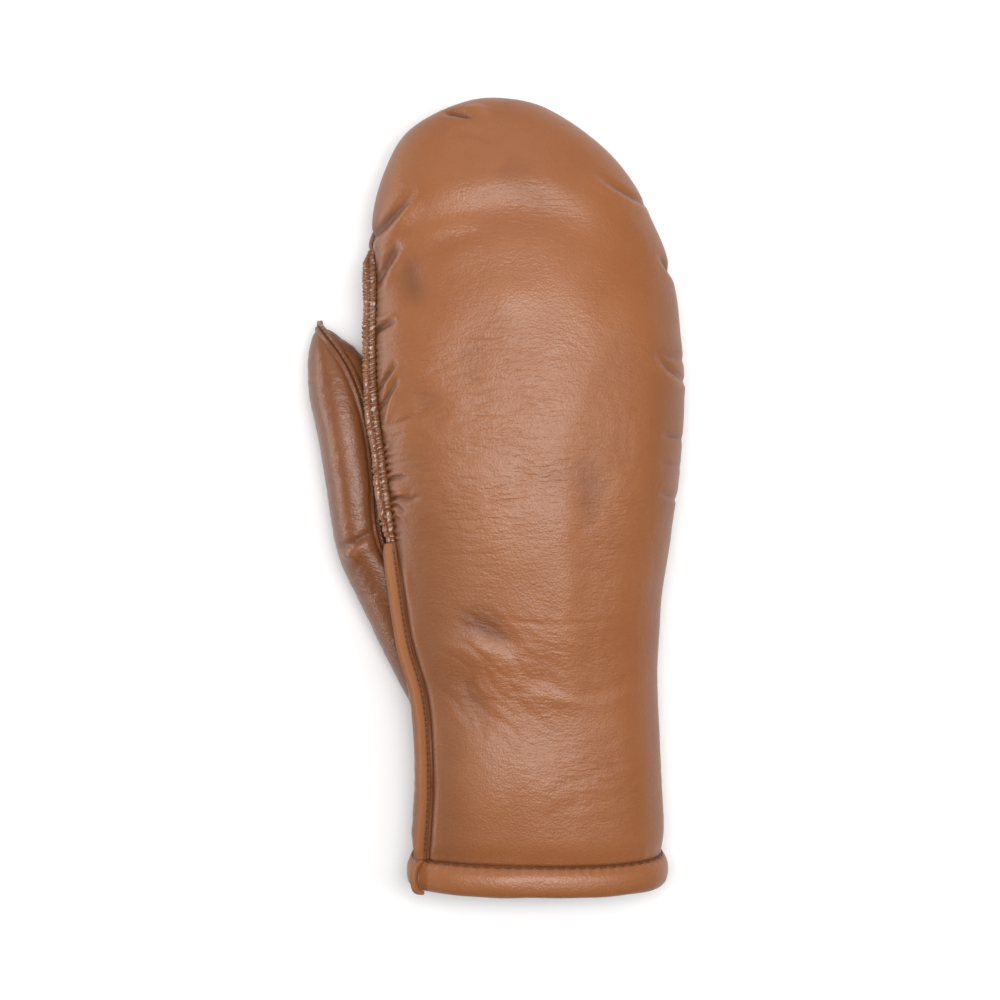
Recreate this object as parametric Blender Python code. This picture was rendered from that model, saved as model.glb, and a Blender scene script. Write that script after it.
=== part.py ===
"""Padded leather mitten for a right hand, lying on its palm.

X runs across the hand with the thumb towards -X, Y runs from the cuff to the fingertip, and Z is up
through the back of the hand. The origin lies on the surface that the palm rests on. Metres.
"""

import bmesh
import bpy
import numpy as np

# Overall sizes
SHELL_LENGTH = 0.255  # hem stitching to fingertip
HEM_HEIGHT = 0.0103
HAND_WIDTH = 0.106
HAND_DEPTH = 0.058
CUFF_WIDTH = 0.086
CUFF_DEPTH = 0.050
THUMB_LENGTH = 0.147  # root, inside the palm, to tip
THUMB_WIDTH = 0.0244
THUMB_DEPTH = 0.032

# Padded leather
WALL = 0.0028
GAP = 0.0003  # between neighbouring pieces
PRESS_SOFTNESS = 0.0025  # rounds the edge of the flat that the mitten lies on
PINCH = 0.0012  # how far a seam draws the leather in
PINCH_REACH = 0.0045
PINCH_AT_TIP = 0.6  # share of PINCH where the fingertip closes
PINCH_RISE = 6.0  # how fast it then grows with the section's width
THUMB_PINCH_RISE = 2.4
INSET_SOFTNESS = 1.5  # in insets: sizes near it are drawn in by less
INSET_AT_TIP = 0.8  # share of an inset that a rounded end is drawn back by
FOLD_WIDTH = 0.0055
FOLD_DEPTH = 0.0024
FOLD_CLEAR_OF_SEAM = 0.0035

# Hem band, and where the welt that crosses it begins and ends, as shares of its outside
HEM_THICKNESS = 0.0034
HEM_WELT_START = 0.17
HEM_WELT_END = 0.85

# Welts, the strips that stand out of the seams
WELT_SEAT = 0.0006  # above the bottom of the seam's groove
SIDE_WELT_HEIGHT = 0.0034
SIDE_WELT_THICKNESS = 0.0022
GATHERED_WELT_HEIGHT = 0.0044
GATHERED_WELT_THICKNESS = 0.0026
GATHER_PITCH = 0.0028
GATHER_RELIEF = 0.0004
GATHER_TAPER = 0.011  # over which the pleats shrink to their low ends
GATHER_END_HEIGHT = 0.55  # share of the full height
EDGE_WELT_HEIGHT = 0.0022
EDGE_WELT_THICKNESS = 0.0020
THUMB_WELT_HEIGHT = 0.0022
THUMB_WELT_THICKNESS = 0.0016
HEM_WELT_HEIGHT = 0.0024

# Places along the hand, as shares of SHELL_LENGTH from the hem stitching
REST_POINT = 0.4694
THUMB_ROOT = 0.132
GATHER_START = 0.414
GATHER_END = 0.801
THUMB_WELT_START = 0.353
TIP_LEAN_START = 0.70
CUFF_LEAN_END = 0.25

# How far the sections lean forward over the fingertip and back at the cuff, as slopes
TIP_LEAN = 0.5
CUFF_LEAN = -0.1

# Fineness of the meshes
BODY_STEPS_PER_ROW = 3
BACK_STEPS = 20
PALM_STEPS = 12
THUMB_STEPS_PER_ROW = 2
THUMB_OUTER_STEPS = 10
THUMB_INNER_STEPS = 8
SEAM_STEPS_PER_ROW = 12
EDGE_CROWDING = 0.6
EDGE_SHIFT_POWER = 6  # how soon the shift that opens a seam's gap dies away from the edge
FOLD_LINE_STEPS = 14
HEM_STEPS = 36
HEM_WELT_STEPS = 7
WELT_STEP = 0.0065
SMALL_STEP = 0.01  # in rows and radians, for directions
MERGE_DISTANCE = 1e-7

# Body sections from the hem stitching to the fingertip. along: share of SHELL_LENGTH. hand: 0 where the
# widths and heights are shares of the cuff's sizes, 1 where they are shares of the hand's. index, outer:
# reach to the index and little-finger side from the axis. top, index_mid, outer_mid, belly: heights of
# the back, of the widest line at each side, and of the palm before it is pressed flat. full: 2 is an
# ellipse, more is boxier. index_seam, outer_seam: degrees that the seams lie above and below the side.
BODY_COLUMNS = (
    "along", "hand", "index", "outer", "top", "index_mid", "outer_mid", "belly", "full",
    "index_seam", "outer_seam",
)
BODY_ROWS = (
    (0.000, 0.00, 0.452, 0.552, 0.95, 0.56, 0.44, -0.06, 2.3, 28, 28),
    (0.100, 0.00, 0.438, 0.546, 1.00, 0.60, 0.44, -0.10, 2.3, 29, 28),
    (0.203, 0.00, 0.452, 0.528, 1.00, 0.60, 0.44, -0.10, 2.3, 28, 28),
    (0.283, 0.30, 0.470, 0.496, 1.00, 0.60, 0.43, -0.10, 2.3, 24, 28),
    (0.363, 0.60, 0.463, 0.480, 1.00, 0.60, 0.42, -0.10, 2.3, 20, 28),
    (0.443, 0.85, 0.456, 0.486, 1.00, 0.60, 0.42, -0.10, 2.3, 15, 28),
    (0.523, 1.00, 0.461, 0.497, 1.00, 0.60, 0.42, -0.10, 2.3, 11, 28),
    (0.602, 1.00, 0.483, 0.510, 1.00, 0.60, 0.42, -0.10, 2.3, 9, 28),
    (0.682, 1.00, 0.487, 0.502, 0.99, 0.59, 0.42, -0.10, 2.3, 7, 28),
    (0.762, 1.00, 0.484, 0.476, 0.95, 0.56, 0.42, -0.07, 2.2, 4, 28),
    (0.835, 1.00, 0.490, 0.415, 0.89, 0.52, 0.41, -0.02, 2.2, -16, 30),
    (0.901, 1.00, 0.450, 0.322, 0.79, 0.46, 0.39, 0.04, 2.1, -30, 30),
    (0.954, 1.00, 0.380, 0.182, 0.66, 0.39, 0.36, 0.12, 2.0, -28, 26),
    (0.984, 1.00, 0.240, 0.058, 0.50, 0.33, 0.33, 0.21, 2.0, -14, 12),
    (0.993, 1.00, 0.090, -0.090, 0.31, 0.31, 0.31, 0.31, 2.0, 0, 0),
)

# Thumb sections from its root inside the palm to its tip. along: share of THUMB_LENGTH. reach: the
# middle's distance from the axis, a share of HAND_WIDTH. half: half its width, a share of THUMB_WIDTH.
# top, mid, belly: heights, shares of THUMB_DEPTH. full: as above. top_seam, under_seam: degrees round
# from the side that faces the hand.
THUMB_COLUMNS = ("along", "reach", "half", "top", "mid", "belly", "full", "top_seam", "under_seam")
THUMB_ROWS = (
    (0.000, 0.245, 0.205, 0.56, 0.42, 0.30, 2.2, 46, -98),
    (0.061, 0.275, 0.295, 0.66, 0.42, 0.19, 2.2, 46, -98),
    (0.116, 0.293, 0.371, 0.74, 0.43, 0.10, 2.2, 46, -98),
    (0.210, 0.335, 0.471, 0.83, 0.45, 0.00, 2.2, 46, -98),
    (0.304, 0.385, 0.525, 0.90, 0.47, -0.06, 2.2, 46, -98),
    (0.397, 0.448, 0.541, 0.95, 0.48, -0.09, 2.2, 46, -98),
    (0.463, 0.507, 0.430, 0.98, 0.49, -0.10, 2.2, 47, -98),
    (0.538, 0.531, 0.410, 0.99, 0.50, -0.10, 2.2, 48, -98),
    (0.632, 0.546, 0.445, 1.00, 0.50, -0.10, 2.2, 46, -98),
    (0.726, 0.562, 0.461, 1.00, 0.50, -0.10, 2.2, 47, -98),
    (0.819, 0.582, 0.500, 0.97, 0.49, -0.08, 2.2, 57, -98),
    (0.890, 0.602, 0.441, 0.90, 0.48, -0.04, 2.2, 65, -98),
    (0.941, 0.626, 0.322, 0.80, 0.46, 0.06, 2.1, 72, -98),
    (0.976, 0.650, 0.164, 0.65, 0.44, 0.22, 2.0, 80, -99),
    (0.994, 0.671, 0.000, 0.44, 0.44, 0.44, 2.0, 84, -100),
)

# Folds seen from above, each from x0, y0 to x1, y1, shares of HAND_WIDTH from the axis and of
# SHELL_LENGTH from the hem stitching. bow: how far its middle stands off the straight line, a share of
# its length. width, depth: shares of FOLD_WIDTH and FOLD_DEPTH. A negative depth is a valley. Each fold
# fades towards its ends, from a sine that starts at FOLD_FADE_START of its half turn.
FOLD_FADE_START = 0.15
FOLD_FADE_END = 0.95
FOLD_COLUMNS = ("x0", "y0", "x1", "y1", "bow", "width", "depth")
BACK_FOLDS = (
    (-0.490, 0.810, -0.350, 0.879, 0.05, 0.80, -0.90),
    (-0.490, 0.757, -0.400, 0.813, 0.00, 0.80, -0.90),
    (-0.480, 0.699, -0.400, 0.709, 0.00, 0.60, -0.60),
    (-0.470, 0.624, -0.410, 0.651, 0.00, 0.60, -0.60),
    (-0.440, 0.540, -0.360, 0.555, 0.00, 0.60, -0.50),
    (-0.400, 0.444, -0.300, 0.464, 0.00, 0.70, -0.40),
    (-0.420, 0.798, 0.360, 0.768, 0.20, 1.40, -0.70),
    (-0.380, 0.848, 0.360, 0.828, 0.16, 1.60, 0.60),
    (0.090, 0.211, 0.100, 0.656, 0.00, 2.20, 0.45),
    (0.400, 0.884, 0.200, 0.919, 0.00, 0.80, -0.80),
    (0.500, 0.783, 0.380, 0.798, 0.00, 0.80, -0.40),
    (0.540, 0.664, 0.380, 0.668, 0.10, 0.90, -0.50),
    (0.540, 0.551, 0.400, 0.561, 0.00, 0.80, -0.50),
    (0.530, 0.510, 0.380, 0.515, 0.00, 0.70, -0.30),
    (0.530, 0.469, 0.400, 0.474, 0.00, 0.70, -0.40),
    (-0.240, 0.990, -0.100, 0.965, 0.00, 0.80, -0.90),
)
THUMB_FOLDS = (
    (-0.585, 0.409, -0.460, 0.434, -0.08, 0.60, -0.70),
    (-0.560, 0.378, -0.480, 0.343, 0.00, 0.70, -0.35),
)

# The hem band's section. down: share of HEM_HEIGHT from the stitching. out: share of HEM_THICKNESS from
# the skin of the hand. The first rows run down the outside.
HEM_COLUMNS = ("down", "out")
HEM_OUTSIDE_ROWS = 7
HEM_SECTION = (
    (0.00, -0.35),
    (0.13, 0.05),
    (0.32, 0.30),
    (0.60, 0.34),
    (0.84, 0.20),
    (0.96, -0.08),
    (1.00, -0.40),
    (0.96, -0.75),
    (0.84, -0.94),
    (0.45, -1.00),
    (0.00, -0.92),
)

# A welt's section. beside: share of its thickness. out: share of its height.
WELT_SECTION = (
    (-0.25, 0.00), (-0.50, 0.35), (-0.50, 0.85), (-0.28, 1.00),
    (0.28, 1.00), (0.50, 0.85), (0.50, 0.35), (0.25, 0.00),
)

LEATHER_BACK = (0.376, 0.145, 0.066, 1.0)
LEATHER_PALM = (0.330, 0.122, 0.055, 1.0)
LEATHER_WELT = (0.420, 0.165, 0.078, 1.0)
ROUGHNESS_BACK = 0.42
ROUGHNESS_PALM = 0.45
ROUGHNESS_WELT = 0.55


def clear_scene():
    for obj in list(bpy.data.objects):
        bpy.data.objects.remove(obj, do_unlink=True)


def leather(name, colour, roughness):
    material = bpy.data.materials.new(name)
    material.use_nodes = True
    shader = material.node_tree.nodes["Principled BSDF"]
    shader.inputs["Base Color"].default_value = colour
    shader.inputs["Roughness"].default_value = roughness
    shader.inputs["Metallic"].default_value = 0.0
    return material


def unit(vectors):
    return vectors / np.linalg.norm(vectors, axis=-1, keepdims=True)


def by_column(columns, rows):
    values = np.array(rows, float)
    return {name: values[:, k] for k, name in enumerate(columns)}


def hand_y(share):
    """Where a share of SHELL_LENGTH lies, from the point that the palm rests on."""
    return (share - REST_POINT) * SHELL_LENGTH


def pressed(z, floor):
    """Heights with all that would pass below the floor laid flat on it, through a rounded edge."""
    above = z - floor
    edge = (above + PRESS_SOFTNESS) ** 2 / (4.0 * PRESS_SOFTNESS)
    return floor + np.where(above < -PRESS_SOFTNESS, 0.0, np.where(above > PRESS_SOFTNESS, above, edge))


def through_rows(values, u, turns_back):
    """A smooth curve through the rows' values, at row positions u. Past a rounded end it turns back."""
    before = 2.0 * values[0] - values[1]
    after = values[-2] if turns_back else 2.0 * values[-1] - values[-2]
    knots = np.concatenate(([before], values, [after]))
    i = np.clip(np.floor(u).astype(int), 0, len(values) - 2)
    t = u - i
    a, b, c, d = knots[i], knots[i + 1], knots[i + 2], knots[i + 3]
    return b + 0.5 * t * (c - a + t * (2 * a - 5 * b + 4 * c - d + t * (3 * (b - c) + d - a)))


def body_form():
    share = by_column(BODY_COLUMNS, BODY_ROWS)
    width = CUFF_WIDTH + (HAND_WIDTH - CUFF_WIDTH) * share["hand"]
    depth = CUFF_DEPTH + (HAND_DEPTH - CUFF_DEPTH) * share["hand"]
    tipwards = np.clip((share["along"] - TIP_LEAN_START) / (1.0 - TIP_LEAN_START), 0.0, 1.0)
    cuffwards = np.clip(1.0 - share["along"] / CUFF_LEAN_END, 0.0, 1.0)
    return {
        "y": hand_y(share["along"]),
        "left": -share["index"] * width,
        "right": share["outer"] * width,
        "top": share["top"] * depth,
        "left_mid": share["index_mid"] * depth,
        "right_mid": share["outer_mid"] * depth,
        "belly": share["belly"] * depth,
        "full": share["full"],
        "lean": TIP_LEAN * tipwards ** 2 * (3.0 - 2.0 * tipwards) + CUFF_LEAN * cuffwards ** 2,
        "first_seam": np.radians(180.0 - share["index_seam"]),
        "second_seam": np.radians(-share["outer_seam"]),
        "floor": np.zeros(len(BODY_ROWS)),
        "pinch": PINCH * np.clip(PINCH_AT_TIP + PINCH_RISE * (share["index"] + share["outer"]), 0.0, 1.0),
    }


def thumb_form():
    share = by_column(THUMB_COLUMNS, THUMB_ROWS)
    middle = -share["reach"] * HAND_WIDTH
    half = share["half"] * THUMB_WIDTH
    return {
        "y": hand_y(THUMB_ROOT) + share["along"] * THUMB_LENGTH,
        "left": middle - half,
        "right": middle + half,
        "top": share["top"] * THUMB_DEPTH,
        "left_mid": share["mid"] * THUMB_DEPTH,
        "right_mid": share["mid"] * THUMB_DEPTH,
        "belly": share["belly"] * THUMB_DEPTH,
        "full": share["full"],
        "lean": np.zeros(len(THUMB_ROWS)),
        "first_seam": np.radians(share["top_seam"]),
        "second_seam": np.radians(share["under_seam"]),
        "floor": np.zeros(len(THUMB_ROWS)),
        "pinch": PINCH * np.clip(THUMB_PINCH_RISE * share["half"], 0.0, 1.0),
    }


def inset(form, depth):
    """A form whose skin lies inside another's by depth, less where that is slender. Below 0 is outside."""
    sizes = {
        "half": (form["right"] - form["left"]) / 2,
        "rise": form["top"] - (form["left_mid"] + form["right_mid"]) / 2,
        "drop": (form["left_mid"] + form["right_mid"]) / 2 - form["belly"],
    }
    soft = abs(INSET_SOFTNESS * depth)
    draw = {name: depth * (1.0 - np.exp(-size / soft)) for name, size in sizes.items()}
    length = form["y"][-1] - form["y"][0]
    return dict(
        form,
        y=form["y"][0] + (form["y"] - form["y"][0]) * (1.0 - INSET_AT_TIP * depth / length),
        left=form["left"] + draw["half"],
        right=form["right"] - draw["half"],
        top=form["top"] - draw["rise"],
        belly=form["belly"] + draw["drop"],
        floor=form["floor"] + depth,
    )


def at(form, name, u):
    return through_rows(form[name], u, name == "y")


def skin(form, u, theta):
    """Points of a form at row positions u and section angles theta, which run from +X up over the top."""
    row = {name: at(form, name, u) for name in form}
    power = 2.0 / row["full"]
    across = np.sign(np.cos(theta)) * np.abs(np.cos(theta)) ** power
    up = np.sign(np.sin(theta)) * np.abs(np.sin(theta)) ** power
    x = (row["left"] + row["right"]) / 2 + across * (row["right"] - row["left"]) / 2
    mid = row["left_mid"] + (row["right_mid"] - row["left_mid"]) * (across + 1.0) / 2
    z = mid + np.where(up > 0.0, row["top"] - mid, mid - row["belly"]) * up
    return np.stack([x, row["y"] + row["lean"] * (z - mid), pressed(z, row["floor"])], axis=-1)


def normals(form, u, theta):
    """Outward unit normals of a form, from small steps along and around it."""
    rows = len(form["y"]) - 1
    u = np.clip(u, SMALL_STEP, rows - 3.0 * SMALL_STEP)
    along = skin(form, u + SMALL_STEP, theta) - skin(form, u - SMALL_STEP, theta)
    around = skin(form, u, theta + SMALL_STEP) - skin(form, u, theta - SMALL_STEP)
    return unit(np.cross(along, around))


def fold_lift(points, folds):
    """How far the folds lift or sink each point, from its distance to each fold's line seen from above."""
    lift = np.zeros(points.shape[:-1])
    along = np.linspace(0.0, 1.0, FOLD_LINE_STEPS + 1)[:, None]
    faded = np.sqrt(np.sin(np.pi * (FOLD_FADE_START + (FOLD_FADE_END - FOLD_FADE_START) * along[:, 0])))
    for fold in folds:
        row = dict(zip(FOLD_COLUMNS, fold))
        start = np.array([row["x0"] * HAND_WIDTH, hand_y(row["y0"])])
        end = np.array([row["x1"] * HAND_WIDTH, hand_y(row["y1"])])
        side = np.array([start[1] - end[1], end[0] - start[0]]) * row["bow"]
        line = start + (end - start) * along + side * 4.0 * along * (1.0 - along)
        distance = np.linalg.norm(points[..., None, :2] - line, axis=-1)
        reach = row["width"] * FOLD_WIDTH
        near = faded[distance.argmin(axis=-1)] * np.exp(-((distance.min(axis=-1) / reach) ** 2))
        lift += row["depth"] * FOLD_DEPTH * near
    return lift


def seam_line(form, steps_per_row):
    """Both seams as one line, up the first and back down the second."""
    rows = len(form["y"]) - 1
    u = np.linspace(0.0, rows, rows * steps_per_row + 1)
    sides = [at(form, name, u) for name in ("first_seam", "second_seam")]
    up, down = [skin(form, u, theta) for theta in sides]
    up_normal, down_normal = [normals(form, u, theta) for theta in sides]
    points = np.concatenate([up, down[-2::-1]])
    outward = np.concatenate([up_normal, down_normal[-2::-1]])
    outward[len(u) - 1] = unit(up_normal[-2] + down_normal[-2])
    forward = unit(np.gradient(points, axis=0))
    outward = unit(outward - forward * (outward * forward).sum(axis=1, keepdims=True))
    length = np.concatenate([[0.0], np.cumsum(np.linalg.norm(np.diff(points, axis=0), axis=1))])
    pinch = at(form, "pinch", u)
    return {
        "points": points,
        "outward": outward,
        "forward": forward,
        "pinch": np.concatenate([pinch, pinch[-2::-1]])[:, None],
        "length": length,
        "tip": len(u) - 1,
    }


def crowded(steps):
    """Shares from 0 to 1 that lie closer together near both ends."""
    t = np.linspace(0.0, 1.0, steps + 1)
    return t - EDGE_CROWDING * np.sin(2.0 * np.pi * t) / (2.0 * np.pi)


def angles(form, u, steps, over_first):
    """A panel's section angles, from the first seam round to the second, or on from there to the first."""
    first, second = at(form, "first_seam", u), at(form, "second_seam", u)
    if not over_first:
        first, second = second, first - 2.0 * np.pi
    return first[:, None] + (second - first)[:, None] * crowded(steps)


def panel_skins(form, steps_per_row, steps, over_first, folds):
    """A panel's outer and inner skin as grids, its edges drawn in along the seams and at the hem."""
    rows = len(form["y"]) - 1
    u = np.linspace(0.0, rows, rows * steps_per_row + 1)
    theta = angles(form, u, steps, over_first)
    u_grid = np.repeat(u[:, None], steps + 1, axis=1)
    outer, inner = skin(form, u_grid, theta), skin(inset(form, WALL), u_grid, theta)
    outward = normals(form, u_grid, theta)
    seam = seam_line(form, steps_per_row)
    order = 1 if over_first else -1
    seam_outward = seam["outward"][::order]
    opening = np.cross(seam["forward"], seam["outward"])[::order] * order * GAP / 2
    near_edge = (1.0 - crowded(steps)[:, None]) ** EDGE_SHIFT_POWER
    tip = len(u) - 1
    first_side, second_side = slice(0, tip + 1), slice(None, tip - 1, -1)
    for edge, seam_rows, near in ((0, first_side, near_edge), (-1, second_side, near_edge[::-1])):
        outward[:, edge] = seam_outward[seam_rows]
        outer += opening[seam_rows, None] * near
        inner += opening[seam_rows, None] * near
    for grid in (outer, inner, outward):
        grid[-1] = grid[-1, 0]
    to_seam = np.linalg.norm(outer[:, :, None, :] - seam["points"], axis=-1).min(axis=-1)
    to_hem = outer[..., 1] - outer[0, :, 1]
    draw = np.exp(-((np.minimum(to_seam, to_hem) / PINCH_REACH) ** 2))
    draw[:, [0, -1]] = 1.0
    draw[-1] = 1.0
    lift = fold_lift(outer, folds) * (1.0 - np.exp(-((to_seam / FOLD_CLEAR_OF_SEAM) ** 2)))
    outer += outward * (lift - at(form, "pinch", u_grid) * draw)[..., None]
    inner += outward * lift[..., None]
    for grid, floor in ((outer, 0.0), (inner, WALL)):
        grid[0, :, 1] += GAP / 2
        grid[..., 2] = np.maximum(grid[..., 2], floor)
    return outer, inner


def add_object(name, builder, material):
    bmesh.ops.recalc_face_normals(builder, faces=builder.faces)
    mesh = bpy.data.meshes.new(name)
    builder.to_mesh(mesh)
    builder.free()
    mesh.shade_smooth()
    obj = bpy.data.objects.new(name, mesh)
    if material:
        mesh.materials.append(material)
    bpy.context.scene.collection.objects.link(obj)
    return obj


def add_grid(builder, points, ends_in_tip):
    """Vertices and faces of a grid. Its last row is one point if it ends in a tip."""
    verts = [[builder.verts.new(point) for point in row] for row in points[:-1]]
    if ends_in_tip:
        verts.append([builder.verts.new(points[-1, 0])] * points.shape[1])
    else:
        verts.append([builder.verts.new(point) for point in points[-1]])
    for low, high in zip(verts, verts[1:]):
        for j in range(len(low) - 1):
            corners = dict.fromkeys((low[j], low[j + 1], high[j + 1], high[j]))
            builder.faces.new(corners)
    return verts


def shell(name, outer, inner, material):
    """A closed wall between two grids that end in a tip."""
    builder = bmesh.new()
    rims = []
    for points in (outer, inner):
        verts = add_grid(builder, points, True)
        first_side = [row[0] for row in verts]
        second_side = [row[-1] for row in verts[-2::-1]]
        rims.append(first_side + second_side + verts[0][-2:0:-1])
    for j in range(len(rims[0])):
        k = (j + 1) % len(rims[0])
        builder.faces.new((rims[0][j], rims[0][k], rims[1][k], rims[1][j]))
    return add_object(name, builder, material)


def tube(name, rings, material, joined=False):
    """A solid along a row of closed rings, with flat ends or joined into a ring."""
    builder = bmesh.new()
    verts = [[builder.verts.new(point) for point in ring] for ring in rings]
    pairs = list(zip(verts, verts[1:]))
    if joined:
        pairs.append((verts[-1], verts[0]))
    else:
        builder.faces.new(verts[0])
        builder.faces.new(verts[-1])
    for low, high in pairs:
        for j in range(len(low)):
            k = (j + 1) % len(low)
            builder.faces.new((low[j], low[k], high[k], high[j]))
    return add_object(name, builder, material)


def whole_form(name, form, steps_per_row, over_steps, under_steps):
    """A hidden solid of a whole form, to cut pieces with."""
    rows = len(form["y"]) - 1
    u = np.linspace(0.0, rows, rows * steps_per_row + 1)
    theta = np.concatenate([
        angles(form, u, over_steps, True)[:, :-1],
        angles(form, u, under_steps, False)[:, :-1],
    ], axis=1)
    u_grid = np.repeat(u[:, None], theta.shape[1], axis=1)
    points = skin(form, u_grid, theta)
    builder = bmesh.new()
    verts = add_grid(builder, np.concatenate([points, points[:, :1]], axis=1), True)
    builder.faces.new(verts[0][:-1])
    bmesh.ops.remove_doubles(builder, verts=builder.verts, dist=MERGE_DISTANCE)
    cutter = add_object(name, builder, None)
    cutter.hide_render = True
    cutter.display_type = "WIRE"
    return cutter


def cut(obj, cutter):
    boolean = obj.modifiers.new("cut by " + cutter.name, "BOOLEAN")
    boolean.operation = "DIFFERENCE"
    boolean.object = cutter


def length_at(line, share):
    """How far along a seam line a place along the hand lies, on the line's first side."""
    first_side = slice(0, line["tip"] + 1)
    y = np.maximum.accumulate(line["points"][first_side, 1])
    return np.interp(hand_y(share), y, line["length"][first_side])


def stretch(line, start, end, step):
    """Points, outward and forward directions and pinch of a line between two lengths, a gap short of each."""
    count = max(4, int(round((end - start) / step)))
    along = np.linspace(start + GAP / 2, end - GAP / 2, count + 1)
    return [
        np.stack([np.interp(along, line["length"], part) for part in line[name].T], axis=1)
        for name in ("points", "outward", "forward", "pinch")
    ]


def low_ends(points):
    """Shares of the full height along a strip that is lower at both ends."""
    length = np.concatenate([[0.0], np.cumsum(np.linalg.norm(np.diff(points, axis=0), axis=1))])
    rise = np.clip(np.minimum(length, length[-1] - length) / GATHER_TAPER, 0.0, 1.0)
    return GATHER_END_HEIGHT + (1.0 - GATHER_END_HEIGHT) * rise * (2.0 - rise)


def welt(name, path, height, thickness, material, seat=WELT_SEAT, relief=0.0):
    """A strip that stands out of a seam. A relief makes every other section larger, as pleats."""
    points, outward, forward, pinch = path
    beside = unit(np.cross(outward, forward))
    swell = relief * np.where(np.arange(len(points)) % 2 == 0, -1.0, 1.0)
    section = by_column(("beside", "out"), WELT_SECTION)
    out = (height * np.ones(len(points)) + swell)[:, None] * section["out"] + seat - pinch
    side = (thickness + swell)[:, None] * section["beside"]
    rings = points[:, None] + outward[:, None] * out[..., None] + beside[:, None] * side[..., None]
    return tube(name, rings, material)


def hem_rings(form, theta, rows):
    """The hem's section, carried round the opening at section angles theta."""
    section = by_column(HEM_COLUMNS, rows)
    start = np.zeros(len(theta))
    around, outward = skin(form, start, theta), normals(form, start, theta)
    rings = around[:, None] + outward[:, None] * (section["out"] * HEM_THICKNESS)[:, None]
    rings[..., 2] = np.maximum(rings[..., 2], 0.0)
    leaning = form["lean"][0] * (rings[..., 2] - around[:, None, 2])
    rings[..., 1] = around[:, None, 1] + leaning - GAP / 2 - section["down"] * HEM_HEIGHT
    return rings


def build_body(form, back_leather, palm_leather):
    back_skins = panel_skins(form, BODY_STEPS_PER_ROW, BACK_STEPS, True, BACK_FOLDS)
    shell("back_panel", *back_skins, back_leather)
    palm_skins = panel_skins(form, BODY_STEPS_PER_ROW, PALM_STEPS, False, ())
    return shell("palm_panel", *palm_skins, palm_leather)


def build_hem(form, hem_leather, welt_leather):
    theta = np.linspace(0.0, 2.0 * np.pi, HEM_STEPS, endpoint=False)
    tube("cuff_hem", hem_rings(form, theta, HEM_SECTION), hem_leather, joined=True)
    outside = hem_rings(form, form["first_seam"][:1], HEM_SECTION[:HEM_OUTSIDE_ROWS])[0]
    length = np.linspace(0.0, 1.0, len(outside))
    along = np.linspace(HEM_WELT_START, HEM_WELT_END, HEM_WELT_STEPS + 1)
    points = np.stack([np.interp(along, length, outside[:, k]) for k in range(3)], axis=1)
    forward = unit(np.gradient(points, axis=0))
    beyond = hem_rings(form, form["first_seam"][:1] + SMALL_STEP, HEM_SECTION[:1])[0]
    around = unit(beyond - outside[:1])
    outward = unit(np.cross(around, forward))
    path = (points, outward, forward, np.zeros((len(points), 1)))
    welt("hem_welt", path, HEM_WELT_HEIGHT, SIDE_WELT_THICKNESS, welt_leather, seat=GAP)


def build_body_welts(form, welt_leather, gathered_leather):
    line = seam_line(form, SEAM_STEPS_PER_ROW)
    start, end = length_at(line, GATHER_START), length_at(line, GATHER_END)
    welt("side_welt", stretch(line, 0.0, start, WELT_STEP),
         SIDE_WELT_HEIGHT, SIDE_WELT_THICKNESS, welt_leather)
    gathers = stretch(line, start, end, GATHER_PITCH / 2)
    welt("gathered_welt", gathers, GATHERED_WELT_HEIGHT * low_ends(gathers[0]), GATHERED_WELT_THICKNESS,
         gathered_leather, relief=GATHER_RELIEF)
    welt("edge_welt", stretch(line, end, line["length"][-1], WELT_STEP),
         EDGE_WELT_HEIGHT, EDGE_WELT_THICKNESS, gathered_leather)


def build_thumb(body, palm, panel_leather, welt_leather):
    form = thumb_form()
    outer_skins = panel_skins(form, THUMB_STEPS_PER_ROW, THUMB_OUTER_STEPS, False, THUMB_FOLDS)
    outer = shell("thumb_outer_panel", *outer_skins, panel_leather)
    inner_skins = panel_skins(form, THUMB_STEPS_PER_ROW, THUMB_INNER_STEPS, True, THUMB_FOLDS)
    inner = shell("thumb_inner_panel", *inner_skins, panel_leather)
    line = seam_line(form, SEAM_STEPS_PER_ROW)
    path = stretch(line, length_at(line, THUMB_WELT_START), line["length"][line["tip"]], WELT_STEP)
    strip = welt("thumb_welt", path, THUMB_WELT_HEIGHT, THUMB_WELT_THICKNESS, welt_leather)
    hand_core = whole_form("hand core cutter", inset(body, -GAP), BODY_STEPS_PER_ROW, BACK_STEPS, PALM_STEPS)
    for piece in (outer, inner, strip):
        cut(piece, hand_core)
    thumb_hollow = whole_form("thumb hollow cutter", inset(form, WALL), THUMB_STEPS_PER_ROW,
                              THUMB_INNER_STEPS, THUMB_OUTER_STEPS)
    cut(palm, thumb_hollow)


def main():
    clear_scene()
    back_leather = leather("back leather", LEATHER_BACK, ROUGHNESS_BACK)
    palm_leather = leather("palm leather", LEATHER_PALM, ROUGHNESS_PALM)
    welt_leather = leather("welt leather", LEATHER_WELT, ROUGHNESS_WELT)
    form = body_form()
    palm = build_body(form, back_leather, palm_leather)
    build_hem(form, back_leather, welt_leather)
    build_body_welts(form, welt_leather, back_leather)
    build_thumb(form, palm, palm_leather, back_leather)


main()
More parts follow.
